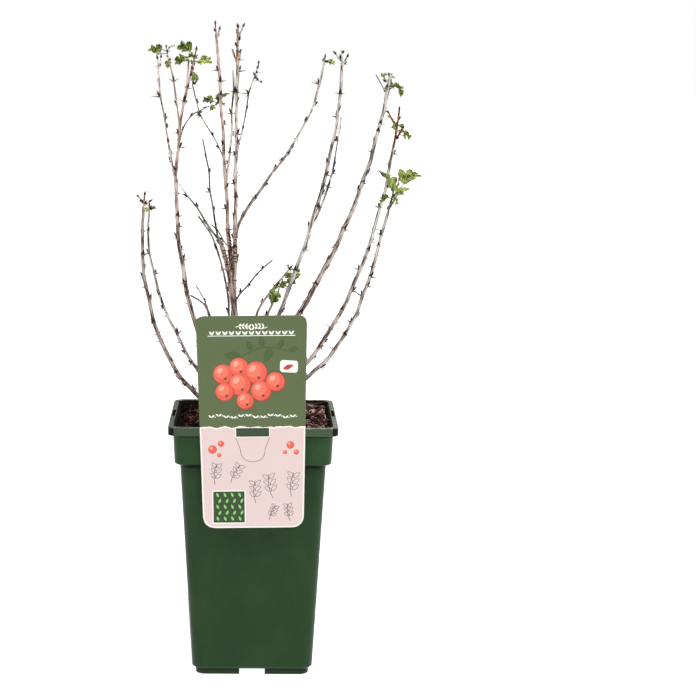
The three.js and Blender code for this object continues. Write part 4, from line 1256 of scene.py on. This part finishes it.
def addTube(skin, points, radii, sides, kind, capKind, spacing=0.8, relief=0.04):
    way = smoothWay(points, spacing)
    rings = []
    for index, (point, share) in enumerate(way):
        before, after = way[max(index - 1, 0)][0], way[min(index + 1, len(way) - 1)][0]
        axis = (after - before).normalized()
        radius = radii[0] + (radii[1] - radii[0]) * share
        ring = []
        for side in range(sides):
            direction = around(axis, 2 * math.pi * side / sides, math.pi / 2)
            rough = 1 + relief * noise.noise((point + direction) * 1.1) * 2
            ring.append(point + direction * radius * rough)
            if "grain" in skin:
                skin["grain"].append(direction * radius + up * share * 20 + points[0] * 3)
        rings.append(ring)
    addRings(skin, rings, kind, (kind, capKind))


def leafPlace(leaf, x, y, lift):
    _, heel, forward, across, length = leaf
    normal = across.cross(forward)
    own = 0.5 + 0.5 * math.sin(heel.x * 1.7 + heel.z * 2.3)      # each leaf has its own curl
    fold = leafLook["fold"][0] + leafLook["fold"][1] * own
    curl = leafLook["curl"][0] + leafLook["curl"][1] * (1 - own)
    wave = leafLook["puff"] * math.sin(13 * x + 5 * own) * math.cos(9 * y)
    edge = leafLook["edge"] * abs(y) ** 2.2 * math.cos(7 * x + 6 * own)
    height = abs(y) * fold - curl * x * x + wave + edge
    place = forward * x + across * y * (1 - 0.12 * fold) + normal * height
    return heel + place * length + normal * lift


def addLeaf(skin, leaf, tone):
    half = leafLook["half"]
    outline = half + [(1.0, 0.0)] + [(x, -y) for x, y in reversed(half)]
    columns = leafLook["columns"]
    thick = leafLook["thickness"] / 2
    count = len(outline)
    first = len(skin["points"])
    for side in (1, -1):
        for x, y in outline:
            spineX = 0.06 + 0.72 * max(0, x) if abs(y) > 0 else x
            for t in columns:
                edge = 1 if t < 0.99 else 0.35
                skin["points"].append(leafPlace(leaf, spineX + (x - spineX) * t, y * t,
                                                side * thick * edge))
    rows = len(columns)
    for side, start in ((1, first), (-1, first + count * rows)):
        for index in range(count - 1):
            for column in range(rows - 1):
                a = start + index * rows + column
                face = (a, a + 1, a + 1 + rows, a + rows)
                addFace(skin, face if side < 0 else face[::-1], tone if side > 0 else 4)
    under = count * rows
    for index in range(count - 1):
        a = first + index * rows + rows - 1
        addFace(skin, (a, a + rows, a + rows + under, a + under), tone)
    for x, y in leafLook["veins"]:
        for side in ((1, -1) if y else (1,)):
            points = [leafPlace(leaf, 0.02 + (x - 0.02) * t, side * y * t, thick)
                      for t in (0, 0.3, 0.65, 1)]
            addTube(skin, points, (leafLook["veinRadius"], 0.1), 3, 5, 5, 4, 0)


def makeTufts():
    twigsSkin, leafSkin = newSkin(), newSkin()
    twigsSkin["grain"] = []
    tones = list(barkTones)
    bare = {name for name in tufts if not tufts[name][4]}
    order = 0
    for name in tufts:
        twigs, leaves, axis = growTuft(name)
        kind = tones.index(tufts[name][8])
        for number, (points, radius) in enumerate(twigs):
            way = [points[0] - axis * (gap + 0.4)] + points if number == 0 else points
            ended = tufts[name][9] == "cut" and number == 0
            tipShare = growth["cutTaper"] if ended else growth["twigTip"]
            addTube(twigsSkin, way, (radius, radius * tipShare), 10, kind,
                    len(tones) if ended else kind)
            length = (points[-1] - points[0]).length
            count = max(1, int(length / growth["budSpacing"]))
            for index in range(count + 1):
                share = (index + 0.6) / (count + 1)
                last = index == count and not ended
                share = 1 if last else min(share, 0.9)
                point = along(points, share)
                way = (points[-1] - points[-2]).normalized()
                turn = math.radians(budRule["turn"]) * (index + number * 2) + order
                here = radius * (1 + (tipShare - 1) * share)
                tone = 2 if leaves and index % 2 else (1, 0, 0)[(index + order) % 3]
                tone = 1 if tufts[name][8] == "rose" and tone == 0 else tone
                opening = growth["tipOpening"] if last else budRule["budOpening"]
                offset = Vector() if last else around(way, turn, math.pi / 2) * here * 0.7
                addBud(buds, point + offset - way * 0.2, around(way, turn, math.radians(opening)),
                       0.72 + 0.25 * here, 2.9 + 0.5 * (order % 3), tone)
                if not last and (index + order) % 2 == 0:
                    for shift in (0, growth["spineShift"]):
                        direction = around(way, turn + shift, math.radians(growth["spineOpening"]))
                        addSpine(spines, point + direction * here * 0.5, direction,
                                 *growth["spine"])
            order += 1
        for leaf in leaves:
            root, heel, forward, _, length = leaf
            sag = (heel - root).length * 0.08
            middle = root.lerp(heel, 0.5) - up * sag
            stalk = [root, middle, heel, heel + forward * length * 0.06]
            thick = leafLook["stalkRadius"]
            addTube(leafSkin, stalk, (thick, thick * 0.7), 6, 6, 6, 0.9, 0)
            small = length < tufts[name][5] * growth["small"]
            bright = length > growth["bright"]
            tone = 0 if bright else (order * 5) % 3 if not small else (1, 2, 3)[order % 3]
            addLeaf(leafSkin, leaf, tone)
            order += 1
    for on, share, turn, opening, length, radius, tone in stubs:
        foot = along(smoothWays[on], share)
        way = around(curveWay(curves[on], share), math.radians(turn), math.radians(opening))
        addTube(twigsSkin, [foot, foot + way * length * 0.6, foot + way * length],
                (radius, radius * 0.95), 12, tones.index(tone), len(tones))
    addPiece("tip_twigs", twigsSkin, [barkTones[tone] for tone in tones] + [cutWood],
             sorted(bare))
    addPiece("spring_leaves", leafSkin, leafTones + [leafUnder, leafVein, stalkGreen],
             sorted(set(tufts) - bare))


makeTufts()
addPiece("spines", spines, [spineWood, spineTip])
addPiece("buds", buds, budTones)
print("tufts grown")


# Floor, light and camera

studio = {
    "floor": "#F2F2F2", "glow": (1.0, 0.6), "glowEdge": (0.05, 0.09), "world": 0.24,
    "suns": [("keySun", (0.4, -1, 1.6), 2.15, 14), ("backSun", (0.5, 1, 1.8), 0.9, 50)],
    "panels": [("leftPanel", (-1.3, 0.35, 0.5), 0.8, 0.2), ("rightPanel", (1.3, 0.45, 0.5), 0.8, 1.2)],
    "aim": (0, 0, 0.2), "lens": 99.69, "shift": (0.132, 0.0007), "place": (1.9, -1501.1, 468.1),
    "pitch": 8.207, "roll": 0.313
}


def makeStudio():
    ground = bpy.data.meshes.new("floor")
    ground.from_pydata([(-30, -30, 0), (30, -30, 0), (30, 30, 0), (-30, 30, 0)], [], [(0, 1, 2, 3)])
    floor = newObject("floor", ground)
    matt, tree, shader = newMaterial("paperSweep", studio["floor"], 0.9, 1.4,
                                     {"Specular IOR Level": 0.1, "Emission Color": (1, 1, 1, 1)})
    away = addNode(tree, "VectorMath", {"operation": "LENGTH"},
                   {0: addNode(tree, "TexCoord").outputs["Object"]}).outputs["Value"]
    (near, far), (most, least) = studio["glowEdge"], studio["glow"]
    glow = addNode(tree, "MapRange",                 # glows evenly, and more below and round the pot as painted light that takes away its shadow
                   {"From Min": near, "From Max": far, "To Min": most, "To Max": least},
                   {"Value": away})
    tree.links.new(glow.outputs["Result"], shader.inputs["Emission Strength"])
    ground.materials.append(matt)
    world = bpy.data.worlds.new("studio")
    bpy.context.scene.world = world
    world.use_nodes = True
    tree = world.node_tree                           # white to look at, softer as a light
    tree.nodes["Background"].inputs["Color"].default_value = (1, 1, 1, 1)
    strength = addNode(tree, "MapRange", {"To Min": studio["world"], "To Max": 1.0},
                       {"Value": addNode(tree, "LightPath").outputs["Is Camera Ray"]})
    tree.links.new(strength.outputs["Result"], tree.nodes["Background"].inputs["Strength"])
    lights = []
    for name, place, power, angle in studio["suns"]:
        light = bpy.data.lights.new(name, "SUN")
        light.energy, light.angle = power, math.radians(angle)
        lights.append((light, place, (0, 0, 0)))
    for name, place, size, power in studio["panels"]:
        light = bpy.data.lights.new(name, "AREA")
        light.shape, light.size, light.energy = "DISK", size, power
        lights.append((light, place, studio["aim"]))
    for light, place, aim in lights:
        lamp = newObject(light.name, light)
        lamp.location = place
        lamp.rotation_euler = (Vector(place) - Vector(aim)).to_track_quat("Z", "Y").to_euler()
    lens = bpy.data.cameras.new("camera")
    lens.lens, lens.sensor_width = studio["lens"], 36
    lens.shift_x, lens.shift_y = studio["shift"]
    lens.clip_end = 100
    camera = newObject("camera", lens)
    pitch, roll = math.radians(studio["pitch"]), math.radians(studio["roll"])
    ahead = Vector((0, math.cos(pitch), -math.sin(pitch)))
    above = Vector((0, math.sin(pitch), math.cos(pitch)))
    right = Vector((1, 0, 0)) * math.cos(roll) + above * math.sin(roll)
    above = above * math.cos(roll) - Vector((1, 0, 0)) * math.sin(roll)
    turn = Matrix((right, above, -ahead)).transposed().to_4x4()
    camera.matrix_world = Matrix.Translation(Vector(studio["place"]) * mm) @ turn
    bpy.context.scene.camera = camera
    bpy.context.scene.view_settings.view_transform = "Standard"


makeStudio()
print("studio lit")
